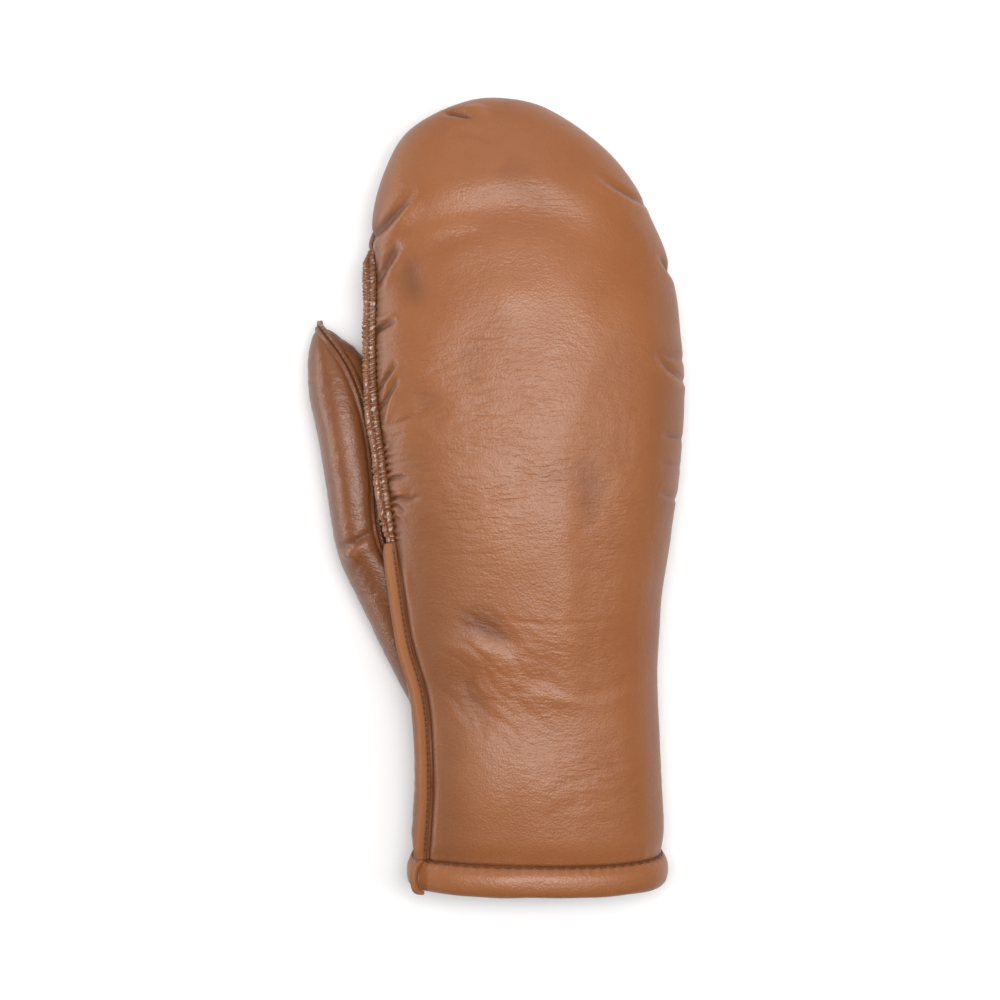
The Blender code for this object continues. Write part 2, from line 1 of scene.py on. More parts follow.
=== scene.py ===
import math
import bmesh
import bpy
import numpy as np
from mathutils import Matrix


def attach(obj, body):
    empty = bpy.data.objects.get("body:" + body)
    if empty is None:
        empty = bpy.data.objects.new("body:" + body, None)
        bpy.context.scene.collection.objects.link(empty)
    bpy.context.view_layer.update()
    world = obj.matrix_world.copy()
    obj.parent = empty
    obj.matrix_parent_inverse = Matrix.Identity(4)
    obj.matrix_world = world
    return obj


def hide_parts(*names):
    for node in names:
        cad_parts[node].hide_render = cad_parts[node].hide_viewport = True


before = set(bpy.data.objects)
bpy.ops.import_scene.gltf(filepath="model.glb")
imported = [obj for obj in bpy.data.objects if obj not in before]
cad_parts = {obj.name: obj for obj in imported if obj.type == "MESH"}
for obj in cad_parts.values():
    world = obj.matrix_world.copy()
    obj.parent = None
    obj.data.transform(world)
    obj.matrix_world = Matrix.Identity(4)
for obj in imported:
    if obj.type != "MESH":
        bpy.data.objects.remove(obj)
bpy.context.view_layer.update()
print("frame loaded:", sorted(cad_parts))

# The hand and the thumb: the sizes of the frame's own solids, in metres
hand = {
    "shellLength": 0.255,  # hem stitching to fingertip
    "width": 0.106,
    "depth": 0.058,
    "cuffWidth": 0.086,
    "cuffDepth": 0.050,
    "restPoint": 0.4694,  # the origin's place along the shell
    "thumbRoot": 0.132,
    "thumbLength": 0.147,
    "thumbWidth": 0.0244,
    "thumbDepth": 0.032,
    "wall": 0.0028,
    "gap": 0.0003,
    "pressSoftness": 0.0025,
    "pinch": 0.0012,  # how far a seam draws the leather in
    "pinchReach": 0.0045,
    "tipLeanStart": 0.70,
    "tipLean": 0.5,
    "cuffLeanEnd": 0.25,
    "cuffLean": -0.1,
}

# Sections from the hem stitching to the fingertip, in shares: along the shell, 0 cuff to 1 hand sizes, reach to the
# index and little-finger side, top, widest line at each side, belly, fullness, and the seams' angles in degrees
bodyColumns = ("along", "hand", "index", "outer", "top", "indexMid", "outerMid", "belly", "full", "indexSeam",
               "outerSeam")
bodyRows = (
    (0.000, 0.00, 0.452, 0.552, 0.95, 0.56, 0.44, -0.06, 2.3, 28, 28),
    (0.100, 0.00, 0.438, 0.546, 1.00, 0.60, 0.44, -0.10, 2.3, 29, 28),
    (0.203, 0.00, 0.452, 0.528, 1.00, 0.60, 0.44, -0.10, 2.3, 28, 28),
    (0.283, 0.30, 0.470, 0.496, 1.00, 0.60, 0.43, -0.10, 2.3, 24, 28),
    (0.363, 0.60, 0.463, 0.480, 1.00, 0.60, 0.42, -0.10, 2.3, 20, 28),
    (0.443, 0.85, 0.456, 0.486, 1.00, 0.60, 0.42, -0.10, 2.3, 15, 28),
    (0.523, 1.00, 0.461, 0.497, 1.00, 0.60, 0.42, -0.10, 2.3, 11, 28),
    (0.602, 1.00, 0.483, 0.510, 1.00, 0.60, 0.42, -0.10, 2.3, 9, 28),
    (0.682, 1.00, 0.487, 0.502, 0.99, 0.59, 0.42, -0.10, 2.3, 7, 28),
    (0.762, 1.00, 0.484, 0.476, 0.95, 0.56, 0.42, -0.07, 2.2, 4, 28),
    (0.835, 1.00, 0.490, 0.415, 0.89, 0.52, 0.41, -0.02, 2.2, -16, 30),
    (0.901, 1.00, 0.450, 0.322, 0.79, 0.46, 0.39, 0.04, 2.1, -30, 30),
    (0.954, 1.00, 0.380, 0.182, 0.66, 0.39, 0.36, 0.12, 2.0, -28, 26),
    (0.984, 1.00, 0.240, 0.058, 0.50, 0.33, 0.33, 0.21, 2.0, -14, 12),
    (0.993, 1.00, 0.090, -0.090, 0.31, 0.31, 0.31, 0.31, 2.0, 0, 0),
)

# The thumb's sections from its root inside the palm to its tip
thumbColumns = ("along", "reach", "half", "top", "mid", "belly", "full", "topSeam", "underSeam")
thumbRows = (
    (0.000, 0.245, 0.205, 0.56, 0.42, 0.30, 2.2, 46, -98),
    (0.061, 0.275, 0.295, 0.66, 0.42, 0.19, 2.2, 46, -98),
    (0.116, 0.293, 0.371, 0.74, 0.43, 0.10, 2.2, 46, -98),
    (0.210, 0.335, 0.471, 0.83, 0.45, 0.00, 2.2, 46, -98),
    (0.304, 0.385, 0.525, 0.90, 0.47, -0.06, 2.2, 46, -98),
    (0.397, 0.448, 0.541, 0.95, 0.48, -0.09, 2.2, 46, -98),
    (0.463, 0.507, 0.430, 0.98, 0.49, -0.10, 2.2, 47, -98),
    (0.538, 0.531, 0.410, 0.99, 0.50, -0.10, 2.2, 48, -98),
    (0.632, 0.546, 0.445, 1.00, 0.50, -0.10, 2.2, 46, -98),
    (0.726, 0.562, 0.461, 1.00, 0.50, -0.10, 2.2, 47, -98),
    (0.819, 0.582, 0.500, 0.97, 0.49, -0.08, 2.2, 57, -98),
    (0.890, 0.602, 0.441, 0.90, 0.48, -0.04, 2.2, 65, -98),
    (0.941, 0.626, 0.322, 0.80, 0.46, 0.06, 2.1, 72, -98),
    (0.976, 0.650, 0.164, 0.65, 0.44, 0.22, 2.0, 80, -99),
    (0.994, 0.671, 0.000, 0.44, 0.44, 0.44, 2.0, 84, -100),
)


def unit(vectors):
    return vectors / np.linalg.norm(vectors, axis=-1, keepdims=True)


def handY(share):
    return (share - hand["restPoint"]) * hand["shellLength"]


def smoothStep(x, low, high):  # 3t^2 - 2t^3 with t from 0 at low to 1 at high
    t = np.clip((x - low) / (high - low), 0.0, 1.0)
    return t * t * (3.0 - 2.0 * t)


def signedPower(value, power):  # sgn(v) |v|^p
    return np.sign(value) * np.abs(value) ** power


def lengthsAlong(points):  # the length of a line from its first point to each of its points
    return np.concatenate([[0], np.cumsum(np.linalg.norm(np.diff(points, axis=0), axis=1))])


def pressed(z, floor):  # z above the floor, the floor below it, and a parabola between, (z + s)^2 / 4s
    soft = hand["pressSoftness"]
    above = z - floor
    return floor + np.where(above < -soft, 0.0, np.where(above > soft, above, (above + soft) ** 2 / (4 * soft)))


def catmullRom(a, b, c, d, t):  # the cubic from b to c whose slopes are (c - a) / 2 and (d - b) / 2
    return b + 0.5 * t * (c - a + t * (2 * a - 5 * b + 4 * c - d + t * (3 * (b - c) + d - a)))


def throughRows(values, u, turnsBack):  # Catmull-Rom cubic through the rows' values, mirrored past a round end
    before = 2 * values[0] - values[1]
    after = values[-2] if turnsBack else 2 * values[-1] - values[-2]
    knots = np.concatenate(([before], values, [after]))
    i = np.clip(np.floor(u).astype(int), 0, len(values) - 2)
    return catmullRom(knots[i], knots[i + 1], knots[i + 2], knots[i + 3], u - i)


def byColumn(columns, rows):
    values = np.array(rows, float)
    return {name: values[:, k] for k, name in enumerate(columns)}


def bodyForm():
    share = byColumn(bodyColumns, bodyRows)
    width = hand["cuffWidth"] + (hand["width"] - hand["cuffWidth"]) * share["hand"]
    depth = hand["cuffDepth"] + (hand["depth"] - hand["cuffDepth"]) * share["hand"]
    tipwards = smoothStep(share["along"], hand["tipLeanStart"], 1.0)
    cuffwards = np.clip(1 - share["along"] / hand["cuffLeanEnd"], 0, 1)
    return {
        "y": handY(share["along"]),
        "left": -share["index"] * width,
        "right": share["outer"] * width,
        "top": share["top"] * depth,
        "leftMid": share["indexMid"] * depth,
        "rightMid": share["outerMid"] * depth,
        "belly": share["belly"] * depth,
        "full": share["full"],
        "lean": hand["tipLean"] * tipwards + hand["cuffLean"] * cuffwards ** 2,
        "firstSeam": np.radians(180 - share["indexSeam"]),
        "secondSeam": np.radians(-share["outerSeam"]),
        "floor": np.zeros(len(bodyRows)),
        "pinch": hand["pinch"] * np.clip(0.6 + 6 * (share["index"] + share["outer"]), 0, 1),
    }


def thumbForm():
    share = byColumn(thumbColumns, thumbRows)
    middle = -share["reach"] * hand["width"]
    half = share["half"] * hand["thumbWidth"]
    depth = hand["thumbDepth"]
    return {
        "y": handY(hand["thumbRoot"]) + share["along"] * hand["thumbLength"],
        "left": middle - half,
        "right": middle + half,
        "top": share["top"] * depth,
        "leftMid": share["mid"] * depth,
        "rightMid": share["mid"] * depth,
        "belly": share["belly"] * depth,
        "full": share["full"],
        "lean": np.zeros(len(thumbRows)),
        "firstSeam": np.radians(share["topSeam"]),
        "secondSeam": np.radians(share["underSeam"]),
        "floor": np.zeros(len(thumbRows)),
        "pinch": hand["pinch"] * np.clip(2.4 * share["half"], 0, 1),
    }


def insetForm(form, depth):
    # each half size h becomes h - depth (1 - exp(-h / 1.5 |depth|)), so that slender ends keep a little room
    middle = (form["leftMid"] + form["rightMid"]) / 2
    half = (form["right"] - form["left"]) / 2
    sizes = {"half": half, "rise": form["top"] - middle, "drop": middle - form["belly"]}
    draw = {name: depth * (1 - np.exp(-size / abs(1.5 * depth))) for name, size in sizes.items()}
    length = form["y"][-1] - form["y"][0]
    return dict(
        form,
        y=form["y"][0] + (form["y"] - form["y"][0]) * (1 - 0.8 * depth / length),
        left=form["left"] + draw["half"],
        right=form["right"] - draw["half"],
        top=form["top"] - draw["rise"],
        belly=form["belly"] + draw["drop"],
        floor=form["floor"] + depth,
    )


def at(form, name, u):
    return throughRows(form[name], u, name == "y")


def skin(form, u, theta):
    # superellipse section: x = middle + half sgn(cos)|cos|^p, z = mid + rise sgn(sin)|sin|^p with p = 2 / full, then
    # pressed on the floor, and y leaning with the height
    row = {name: at(form, name, u) for name in form}
    across = signedPower(np.cos(theta), 2 / row["full"])
    up = signedPower(np.sin(theta), 2 / row["full"])
    x = (row["left"] + row["right"]) / 2 + across * (row["right"] - row["left"]) / 2
    mid = row["leftMid"] + (row["rightMid"] - row["leftMid"]) * (across + 1) / 2
    z = mid + np.where(up > 0, row["top"] - mid, mid - row["belly"]) * up
    return np.stack([x, row["y"] + row["lean"] * (z - mid), pressed(z, row["floor"])], axis=-1)


def skinNormal(form, u, theta):  # cross product of small steps along and around
    step = 0.01
    u = np.clip(u, step, len(form["y"]) - 1 - 3 * step)
    along = skin(form, u + step, theta) - skin(form, u - step, theta)
    around = skin(form, u, theta + step) - skin(form, u, theta - step)
    return unit(np.cross(along, around))


def evenRows(form, stepsPerRow):
    rows = len(form["y"]) - 1
    return np.linspace(0, rows, rows * stepsPerRow + 1)


def closerRows(form, stepsPerRow, low, high, crowding):
    # the same number of rows, set 1 + crowding times as close between the rows low and high
    even = evenRows(form, stepsPerRow)
    density = 1 + crowding * smoothStep(even, low - 0.5, low) * (1 - smoothStep(even, high, high + 0.5))
    passed = np.concatenate([[0], np.cumsum((density[1:] + density[:-1]) / 2)])
    return np.interp(np.linspace(0, passed[-1], len(even)), passed, even)


def seamLine(form, u):
    # both seams as one line, up the first and back down the second, with its frame and its length
    first, second = at(form, "firstSeam", u), at(form, "secondSeam", u)
    up, down = skin(form, u, first), skin(form, u, second)
    upNormal, downNormal = skinNormal(form, u, first), skinNormal(form, u, second)
    points = np.concatenate([up, down[-2::-1]])
    outward = np.concatenate([upNormal, downNormal[-2::-1]])
    outward[len(u) - 1] = unit(upNormal[-2] + downNormal[-2])
    forward = unit(np.gradient(points, axis=0))
    outward = unit(outward - forward * (outward * forward).sum(axis=1, keepdims=True))
    pinch = at(form, "pinch", u)
    return {
        "points": points,
        "outward": outward,
        "forward": forward,
        "pinch": np.concatenate([pinch, pinch[-2::-1]])[:, None],
        "length": lengthsAlong(points),
        "tip": len(u) - 1,
    }


def lengthAt(line, share):
    firstSide = slice(0, line["tip"] + 1)
    y = np.maximum.accumulate(line["points"][firstSide, 1])
    return np.interp(handY(share), y, line["length"][firstSide])


def alongLine(line, name, where):  # a line's points, normals, directions or pinch at lengths along it
    return np.stack([np.interp(where, line["length"], part) for part in line[name].T], axis=1)


def stretch(line, start, end, step):
    # the part of a line between two lengths, less half a gap at each end, in even steps
    count = max(4, int(round((end - start) / step)))
    along = np.linspace(start + hand["gap"] / 2, end - hand["gap"] / 2, count + 1)
    return [alongLine(line, name, along) for name in ("points", "outward", "forward", "pinch")] + [along]


def bell(distance, centre, width):  # exp(-((d - centre) / width)^2), 1 at the centre
    return np.exp(-(((distance - centre) / width) ** 2))


def clearOf(distance, width):  # 1 - exp(-(d / width)^2), 0 on a seam and 1 well away from it
    return 1 - bell(distance, 0, width)


def gradientNoise(x, y, seed):
    # 2-D gradient noise: dot products of seeded unit gradients with the offsets, blended by 6t^5 - 15t^4 + 10t^3
    turns = np.random.default_rng(seed).random(4096) * 2 * np.pi
    xi, yi = np.floor(x).astype(int), np.floor(y).astype(int)
    xf, yf = x - xi, y - yi
    fade = [t ** 3 * (t * (6 * t - 15) + 10) for t in (xf, yf)]
    corner = {}
    for dx in (0, 1):
        for dy in (0, 1):
            turn = turns[((xi + dx) * 73 + (yi + dy) * 179 + seed * 31) % 4096]
            corner[dx, dy] = np.cos(turn) * (xf - dx) + np.sin(turn) * (yf - dy)
    low = corner[0, 0] + (corner[1, 0] - corner[0, 0]) * fade[0]
    high = corner[0, 1] + (corner[1, 1] - corner[0, 1]) * fade[0]
    return 1.5 * (low + (high - low) * fade[1])


def creases(x, y, length, width, turn, sharp, seed):
    # valleys where noise crosses zero, -exp(-(n / sharp)^2), long along a direction turned by turn degrees
    c, s = math.cos(math.radians(turn)), math.sin(math.radians(turn))
    bend = 0.35 * gradientNoise(x / length, y / length, seed + 5)
    n = gradientNoise((x * c + y * s) / length, (y * c - x * s) / width + bend, seed)
    return -bell(n, 0, sharp)


def nearestOn(points, line):
    # distance to a line and its length there: the nearest of its points, then the foot on the tangent through it
    nearest = np.empty(points.shape[:-1], int)
    rowsAtOnce = 16
    for start in range(0, len(points), rowsAtOnce):
        rows = slice(start, start + rowsAtOnce)
        gaps = np.linalg.norm(points[rows, :, None, :] - line["points"], axis=-1)
        nearest[rows] = gaps.argmin(axis=-1)
    offset, forward = points - line["points"][nearest], line["forward"][nearest]
    run = (offset * forward).sum(axis=-1)
    return np.linalg.norm(offset - forward * run[..., None], axis=-1), line["length"][nearest] + run


def foldLift(points, folds):
    # each fold is a bent line seen from above: its depth falls off as exp(-(d / width)^2) to both sides, and as
    # sin(pi (0.18 + 0.82 t))^0.8 along it
    lift = np.zeros(points.shape[:-1])
    steps = 16
    t = np.linspace(0, 1, steps + 1)
    for x0, y0, x1, y1, bow, width, depth in folds:
        first, last = np.array([x0, y0]) / 1000, np.array([x1, y1]) / 1000
        side = np.array([first[1] - last[1], last[0] - first[0]]) * bow
        line = first + (last - first) * t[:, None] + side * (4 * t * (1 - t))[:, None]
        reach = np.abs(last - first) / 2 + 0.008 + 2.2 * width / 1000 + 1.2 * np.abs(side)
        near = (np.abs(points[..., :2] - (first + last) / 2) < reach).all(axis=-1)
        spot = points[near][:, :2]
        nearest = np.linalg.norm(spot[:, None] - line, axis=-1).argmin(axis=-1)
        forward = unit(np.gradient(line, axis=0))[nearest]
        offset = spot - line[nearest]
        run = (offset * forward).sum(axis=-1)
        run = np.where(nearest == 0, np.maximum(run, 0), np.where(nearest == steps, np.minimum(run, 0), run))
        distance = np.linalg.norm(offset - forward * run[:, None], axis=-1)
        along = np.clip((nearest + run / np.linalg.norm(last - first) * steps) / steps, 0, 1)
        fade = np.sin(np.pi * (0.18 + 0.82 * along)) ** 0.8
        lift[near] += depth / 1000 * fade * bell(distance * 1000, 0, width)
    return lift


def putMesh(name, points, faces, materials, smooth=True):
    mesh = bpy.data.meshes.new(name)
    mesh.from_pydata(points.reshape(-1, 3), [], faces)
    mesh.update()
    if smooth:
        mesh.shade_smooth()
    for material in materials:
        mesh.materials.append(material)
    piece = bpy.data.objects.new(name, mesh)
    bpy.context.scene.collection.objects.link(piece)
    return piece


def turnOutwards(piece, mergeWithin=None):
    # doubles merged where a distance is given, then all faces turned outwards
    builder = bmesh.new()
    builder.from_mesh(piece.data)
    if mergeWithin:
        bmesh.ops.remove_doubles(builder, verts=builder.verts, dist=mergeWithin)
    bmesh.ops.recalc_face_normals(builder, faces=builder.faces)
    builder.to_mesh(piece.data)
    builder.free()


def panelAngles(form, u, steps, overFirst, crowding):
    # from the first seam over the top to the second, or under the hand, in steps crowded towards both seams
    first, second = at(form, "firstSeam", u), at(form, "secondSeam", u)
    if not overFirst:
        first, second = second, first - 2 * np.pi
    t = np.linspace(0, 1, steps + 1)
    return first[:, None] + (second - first)[:, None] * (t - crowding * np.sin(2 * np.pi * t) / (2 * np.pi))


def panelSkin(form, look, overFirst, relief):
    # the section skin between two seams, moved along its normals by the relief and drawn in along seams and hem
    u = look["rows"]
    theta = panelAngles(form, u, look["steps"], overFirst, look["crowding"])
    uGrid = np.repeat(u[:, None], look["steps"] + 1, axis=1)
    outer, outward = skin(form, uGrid, theta), skinNormal(form, uGrid, theta)
    inner = skin(insetForm(form, hand["wall"]), uGrid, theta)
    # the two edges take the seam's own frame, and stand half a gap back from the neighbour
    seam = seamLine(form, u)
    order = 1 if overFirst else -1
    seamOutward = seam["outward"][::order]
    sideways = np.cross(seam["forward"], seam["outward"])[::order] * order
    tip = len(u) - 1
    t = np.linspace(0, 1, look["steps"] + 1)[:, None]
    for edge, seamRows, near in ((0, slice(0, tip + 1), (1 - t) ** 12), (-1, slice(None, tip - 1, -1), t ** 12)):
        outward[:, edge] = seamOutward[seamRows]
        for grid in (outer, inner):
            grid += sideways[seamRows, None] * near * hand["gap"] / 2
    for grid in (outer, inner, outward):
        grid[-1] = grid[-1, 0]
    toSeam, seamLength = nearestOn(outer, seamLine(form, evenRows(form, 8)))
    toHem = outer[..., 1] - outer[0, :, 1]
    draw = bell(np.minimum(toSeam, toHem), 0, hand["pinchReach"])
    draw[:, [0, -1]] = 1
    draw[-1] = 1
    plain = outer.copy()
    lift = relief(outer, toSeam, seamLength, toHem)
    outer += outward * (lift - at(form, "pinch", uGrid) * draw)[..., None]
    # the inside follows the broad folds only
    inner += outward * (0.7 * clearOf(toSeam, 0.0035) * foldLift(inner, look["broadFolds"]))[..., None]
    for grid, floor in ((outer, 0.0), (inner, hand["wall"])):
        grid[0, :, 1] += hand["gap"] / 2
        grid[..., 2] = np.maximum(grid[..., 2], floor)
    # painted shade along seams, hem and creases, and the look's painted patches
    sharpLift = lift - foldLift(plain, look["broadFolds"])
    shade = seamShade(toSeam, toHem if look["hemmed"] else 1.0, sharpLift, look["paintedShade"](plain))
    return outer, inner, plain, shade


def shellPiece(name, outer, inner, every, outerMaterial, innerMaterial):
    # a closed wall: the fine outer grid, every few rows and columns of the inner one, and a rim that joins them
    points, faces, rims, start = [], [], [], 0
    for grid, flip in ((outer, False), (inner[::every, ::every], True)):
        rows, columns = grid.shape[:2]
        numbers = start + np.arange((rows - 1) * columns).reshape(rows - 1, columns)
        pole = start + (rows - 1) * columns
        points.append(gridValues(grid))
        quads = [numbers[:-1, :-1], numbers[:-1, 1:], numbers[1:, 1:], numbers[1:, :-1]]
        body = np.stack(quads, -1).reshape(-1, 4)
        cap = np.stack([numbers[-1, :-1], numbers[-1, 1:], np.full(columns - 1, pole)], -1)
        if not flip:
            body, cap = body[:, ::-1], cap[:, ::-1]
        faces += body.tolist() + cap.tolist()
        rims.append(np.concatenate([numbers[:, 0], [pole], numbers[::-1, -1], numbers[0, -2:0:-1]]))
        start = pole + 1
    fine, coarse = rims
    runs = (np.arange(len(coarse))[:, None] * every + np.arange(every + 1)) % len(fine)
    faces += np.concatenate([fine[runs], np.roll(coarse, -1)[:, None], coarse[:, None]], axis=1).tolist()
    piece = putMesh(name, np.concatenate(points), faces, [outerMaterial, innerMaterial])
    which = np.zeros(len(faces), np.int32)
    which[(outer.shape[0] - 1) * (outer.shape[1] - 1):] = 1
    piece.data.polygons.foreach_set("material_index", which)
    turnOutwards(piece)
    return piece


def giveAttributes(piece, surface, masks, shade):
    # the surface's own coordinates in metres, each run of wrinkles, painted shade, and rubbing with painted highlight
    for name, values in (("surface", surface), ("wrinkles", masks), ("shade", shade)):
        kind, field = ("FLOAT_COLOR", "color") if values.shape[-1] == 4 else ("FLOAT_VECTOR", "vector")
        flat = np.zeros((len(piece.data.vertices), values.shape[-1]), np.float32)
        flat[:len(values)] = values
        piece.data.attributes.new(name, kind, "POINT").data.foreach_set(field, flat.ravel())


def gridValues(values):  # one value for each vertex of a panel's grid, its last row being one point
    return np.concatenate([values[:-1].reshape(-1, *values.shape[2:]), values[-1:, 0]])


def developed(outer):
    # lengths on the surface: across from the middle column, and along from the hem
    across = np.cumsum(np.linalg.norm(np.diff(outer, axis=1, prepend=outer[:, :1]), axis=-1), axis=1)
    across = across - across[:, [across.shape[1] // 2]]
    return np.stack([across, outer[..., 1], np.zeros_like(across)], axis=-1)


def patch(points, x, y, wide, high):  # 1 at a place given in millimetres, falling off as exp(-r^4)
    r = ((points[..., 0] * 1000 - x) / wide) ** 2 + ((points[..., 1] * 1000 - y) / high) ** 2
    return np.exp(-r ** 2)


def addNode(tree, kind, values=None, **settings):
    one = tree.nodes.new(kind)
    for name, value in settings.items():
        setattr(one, name, value)
    for name, value in (values or {}).items():
        if isinstance(value, bpy.types.NodeSocket):
            tree.links.new(value, one.inputs[name])
        else:
            one.inputs[name].default_value = value
    return one


def mathNode(tree, operation, a, b=0.0, c=0.0):
    return addNode(tree, "ShaderNodeMath", {0: a, 1: b, 2: c}, operation=operation).outputs[0]


def vectorNode(tree, operation, a, b):
    return addNode(tree, "ShaderNodeVectorMath", {0: a, 1: b}, operation=operation).outputs[0]


def mixColours(tree, factor, a, b):
    return addNode(tree, "ShaderNodeMix", {0: factor, 6: a, 7: b}, data_type="RGBA").outputs[2]


def overlaid(tree, under, layers):  # colours laid over one another, each by its mask times its amount
    for mask, amount, over in layers:
        under = mixColours(tree, mathNode(tree, "MULTIPLY", mask, amount), under, over)
    return under


def noiseNode(tree, vector, scale, detail=2.0, distortion=0.0):
    values = {"Vector": vector, "Scale": scale, "Detail": detail, "Distortion": distortion}
    return addNode(tree, "ShaderNodeTexNoise", values).outputs[0]


def putBump(tree, shader, height, distance, strength):
    bump = addNode(tree, "ShaderNodeBump", {"Height": height, "Distance": distance, "Strength": strength})
    tree.links.new(bump.outputs[0], shader.inputs["Normal"])


def newMaterial(name):  # a material, its tree, its shader and the place on the piece
    material = bpy.data.materials.new(name)
    material.use_nodes = True
    tree = material.node_tree
    place = addNode(tree, "ShaderNodeTexCoord").outputs["Object"]
    return material, tree, tree.nodes["Principled BSDF"], place


def wrinkled(tree, look, height):
    # the height plus four runs of wrinkles: noise drawn out along a direction of the surface, which is bent a little,
    # uneven in strength, each run where it is painted
    surface = addNode(tree, "ShaderNodeAttribute", attribute_name="surface").outputs["Vector"]
    painted = addNode(tree, "ShaderNodeAttribute", attribute_name="wrinkles").outputs
    masks = addNode(tree, "ShaderNodeSeparateColor", {0: painted["Color"]}).outputs
    bend = addNode(tree, "ShaderNodeTexNoise", {"Vector": surface, "Scale": look["bendScale"], "Detail": 2.0})
    bend = vectorNode(tree, "MULTIPLY", bend.outputs["Color"], (look["bend"], look["bend"], 0.0))
    bent = vectorNode(tree, "ADD", surface, bend)
    strength = {0: noiseNode(tree, surface, look["strengthScale"]), 1: 0.36, 2: 0.66, 3: 0.25, 4: 1.6}
    uneven = addNode(tree, "ShaderNodeMapRange", strength).outputs[0]
    along, across = look["rippleScale"]
    for (turn, size), mask in zip(look["rippleRuns"], (*masks, painted["Alpha"])):
        values = {"Vector": bent, "Rotation": (0.0, 0.0, -math.radians(turn))}
        values["Scale"] = (along / size, across / size, 1.0)
        drawnOut = addNode(tree, "ShaderNodeMapping", values).outputs[0]
        ripple = mathNode(tree, "SUBTRACT", noiseNode(tree, drawnOut, 1.0, 2.5, 0.5), 0.5)
        ripple = mathNode(tree, "MULTIPLY", mathNode(tree, "MULTIPLY", ripple, uneven), mask)
        height = mathNode(tree, "MULTIPLY_ADD", ripple, look["ripples"], height)
    return height


def grainedLeather(look):
    # tones mottled by three sizes of noise, height = pores + fine grain + pebble + wrinkles, roughness lower on the
    #     # paler crests, rubbed and painted as highlight, and higher under the painted shade
    material, tree, shader, place = newMaterial(look["name"])
    shade = addNode(tree, "ShaderNodeAttribute", attribute_name="shade").outputs["Color"]
    paintedShade, wearAndHighlight, _ = addNode(tree, "ShaderNodeSeparateColor", {0: shade}).outputs
    clouds = noiseNode(tree, place, look["cloudScale"], 4.0)
    tone = overlaid(tree, look["colour"], (
        (noiseNode(tree, place, look["patchScale"], 3.0, 0.4), look["patchiness"], look["redder"]),
        (clouds, look["clouding"], look["paler"]),
        (noiseNode(tree, place, look["speckScale"]), look["speckle"], look["darker"]),
        # painted shade from the shade attribute's first channel, then rubbed crests with painted highlight from its
        # second
        (paintedShade, look["paintedShadeAmount"], look["darker"]),
        (wearAndHighlight, look["wearAndHighlightAmount"], look["paler"]),
    ))
    tree.links.new(tone, shader.inputs["Base Color"])
    cells = {"Vector": place, "Scale": look["poreScale"], "Randomness": 1.0}
    pores = addNode(tree, "ShaderNodeTexVoronoi", cells, feature="F1").outputs["Distance"]
    height = mathNode(tree, "MULTIPLY", pores, look["pores"])
    height = mathNode(tree, "MULTIPLY_ADD", noiseNode(tree, place, look["grainScale"]), look["grain"], height)
    pebble = noiseNode(tree, place, look["pebbleScale"], 3.0, 0.6)
    height = mathNode(tree, "MULTIPLY_ADD", pebble, look["pebble"], height)
    putBump(tree, shader, wrinkled(tree, look, height), 0.001, 1.0)
    smoothest = look["roughness"] - look["roughVariation"] / 2
    rough = mathNode(tree, "MULTIPLY_ADD", clouds, look["roughVariation"], smoothest)
    rough = mathNode(tree, "MULTIPLY_ADD", paintedShade, look["rougherInPaintedShade"], rough)
    rough = mathNode(tree, "MULTIPLY_ADD", wearAndHighlight, look["rougherWearAndHighlight"], rough)
    tree.links.new(rough, shader.inputs["Roughness"])
    shader.inputs["Specular IOR Level"].default_value = look["specular"]
    shader.inputs["Sheen Weight"].default_value = look["sheen"]
    shader.inputs["Sheen Roughness"].default_value = 0.5
    shader.inputs["Sheen Tint"].default_value = (1.0, 0.82, 0.74, 1.0)
    return material


# Colours are linear, scales are cells to the metre, and pores, grain, pebble and ripples are heights in millimetres
tan = {
    "name": "tanLeather",
    "colour": (0.262, 0.090, 0.0285, 1.0),
    "redder": (0.243, 0.075, 0.0200, 1.0),
    "paler": (0.35, 0.138, 0.052, 1.0),
    "darker": (0.080, 0.0215, 0.0060, 1.0),
    "patchScale": 26.0,
    "patchiness": 0.8,
    "cloudScale": 110.0,
    "clouding": 0.20,
    "speckScale": 900.0,
    "speckle": 0.14,
    # the painted shade's strength, and that of the paler crests: rubbed leather and painted highlight
    "paintedShadeAmount": 0.72,
    "wearAndHighlightAmount": 0.35,
    "poreScale": 1300.0,
    "pores": 0.065,
    "grainScale": 2600.0,
    "grain": 0.030,
    "pebbleScale": 420.0,
    "pebble": 0.085,
    "rippleScale": (250.0, 850.0),  # along a wrinkle and across it
    "rippleRuns": ((4, 1.0), (-42, 1.0), (84, 0.85), (24, 1.0)),  # turn in degrees and size of each painted run
    "ripples": 0.21,
    "bendScale": 45.0,
    "bend": 0.004,
    "strengthScale": 75.0,
    "roughness": 0.43,
    "roughVariation": 0.14,
    # rougher under the painted shade, smoother on the paler crests
    "rougherInPaintedShade": 0.12,
    "rougherWearAndHighlight": -0.05,
    "specular": 0.40,
    "sheen": 0.02,
}
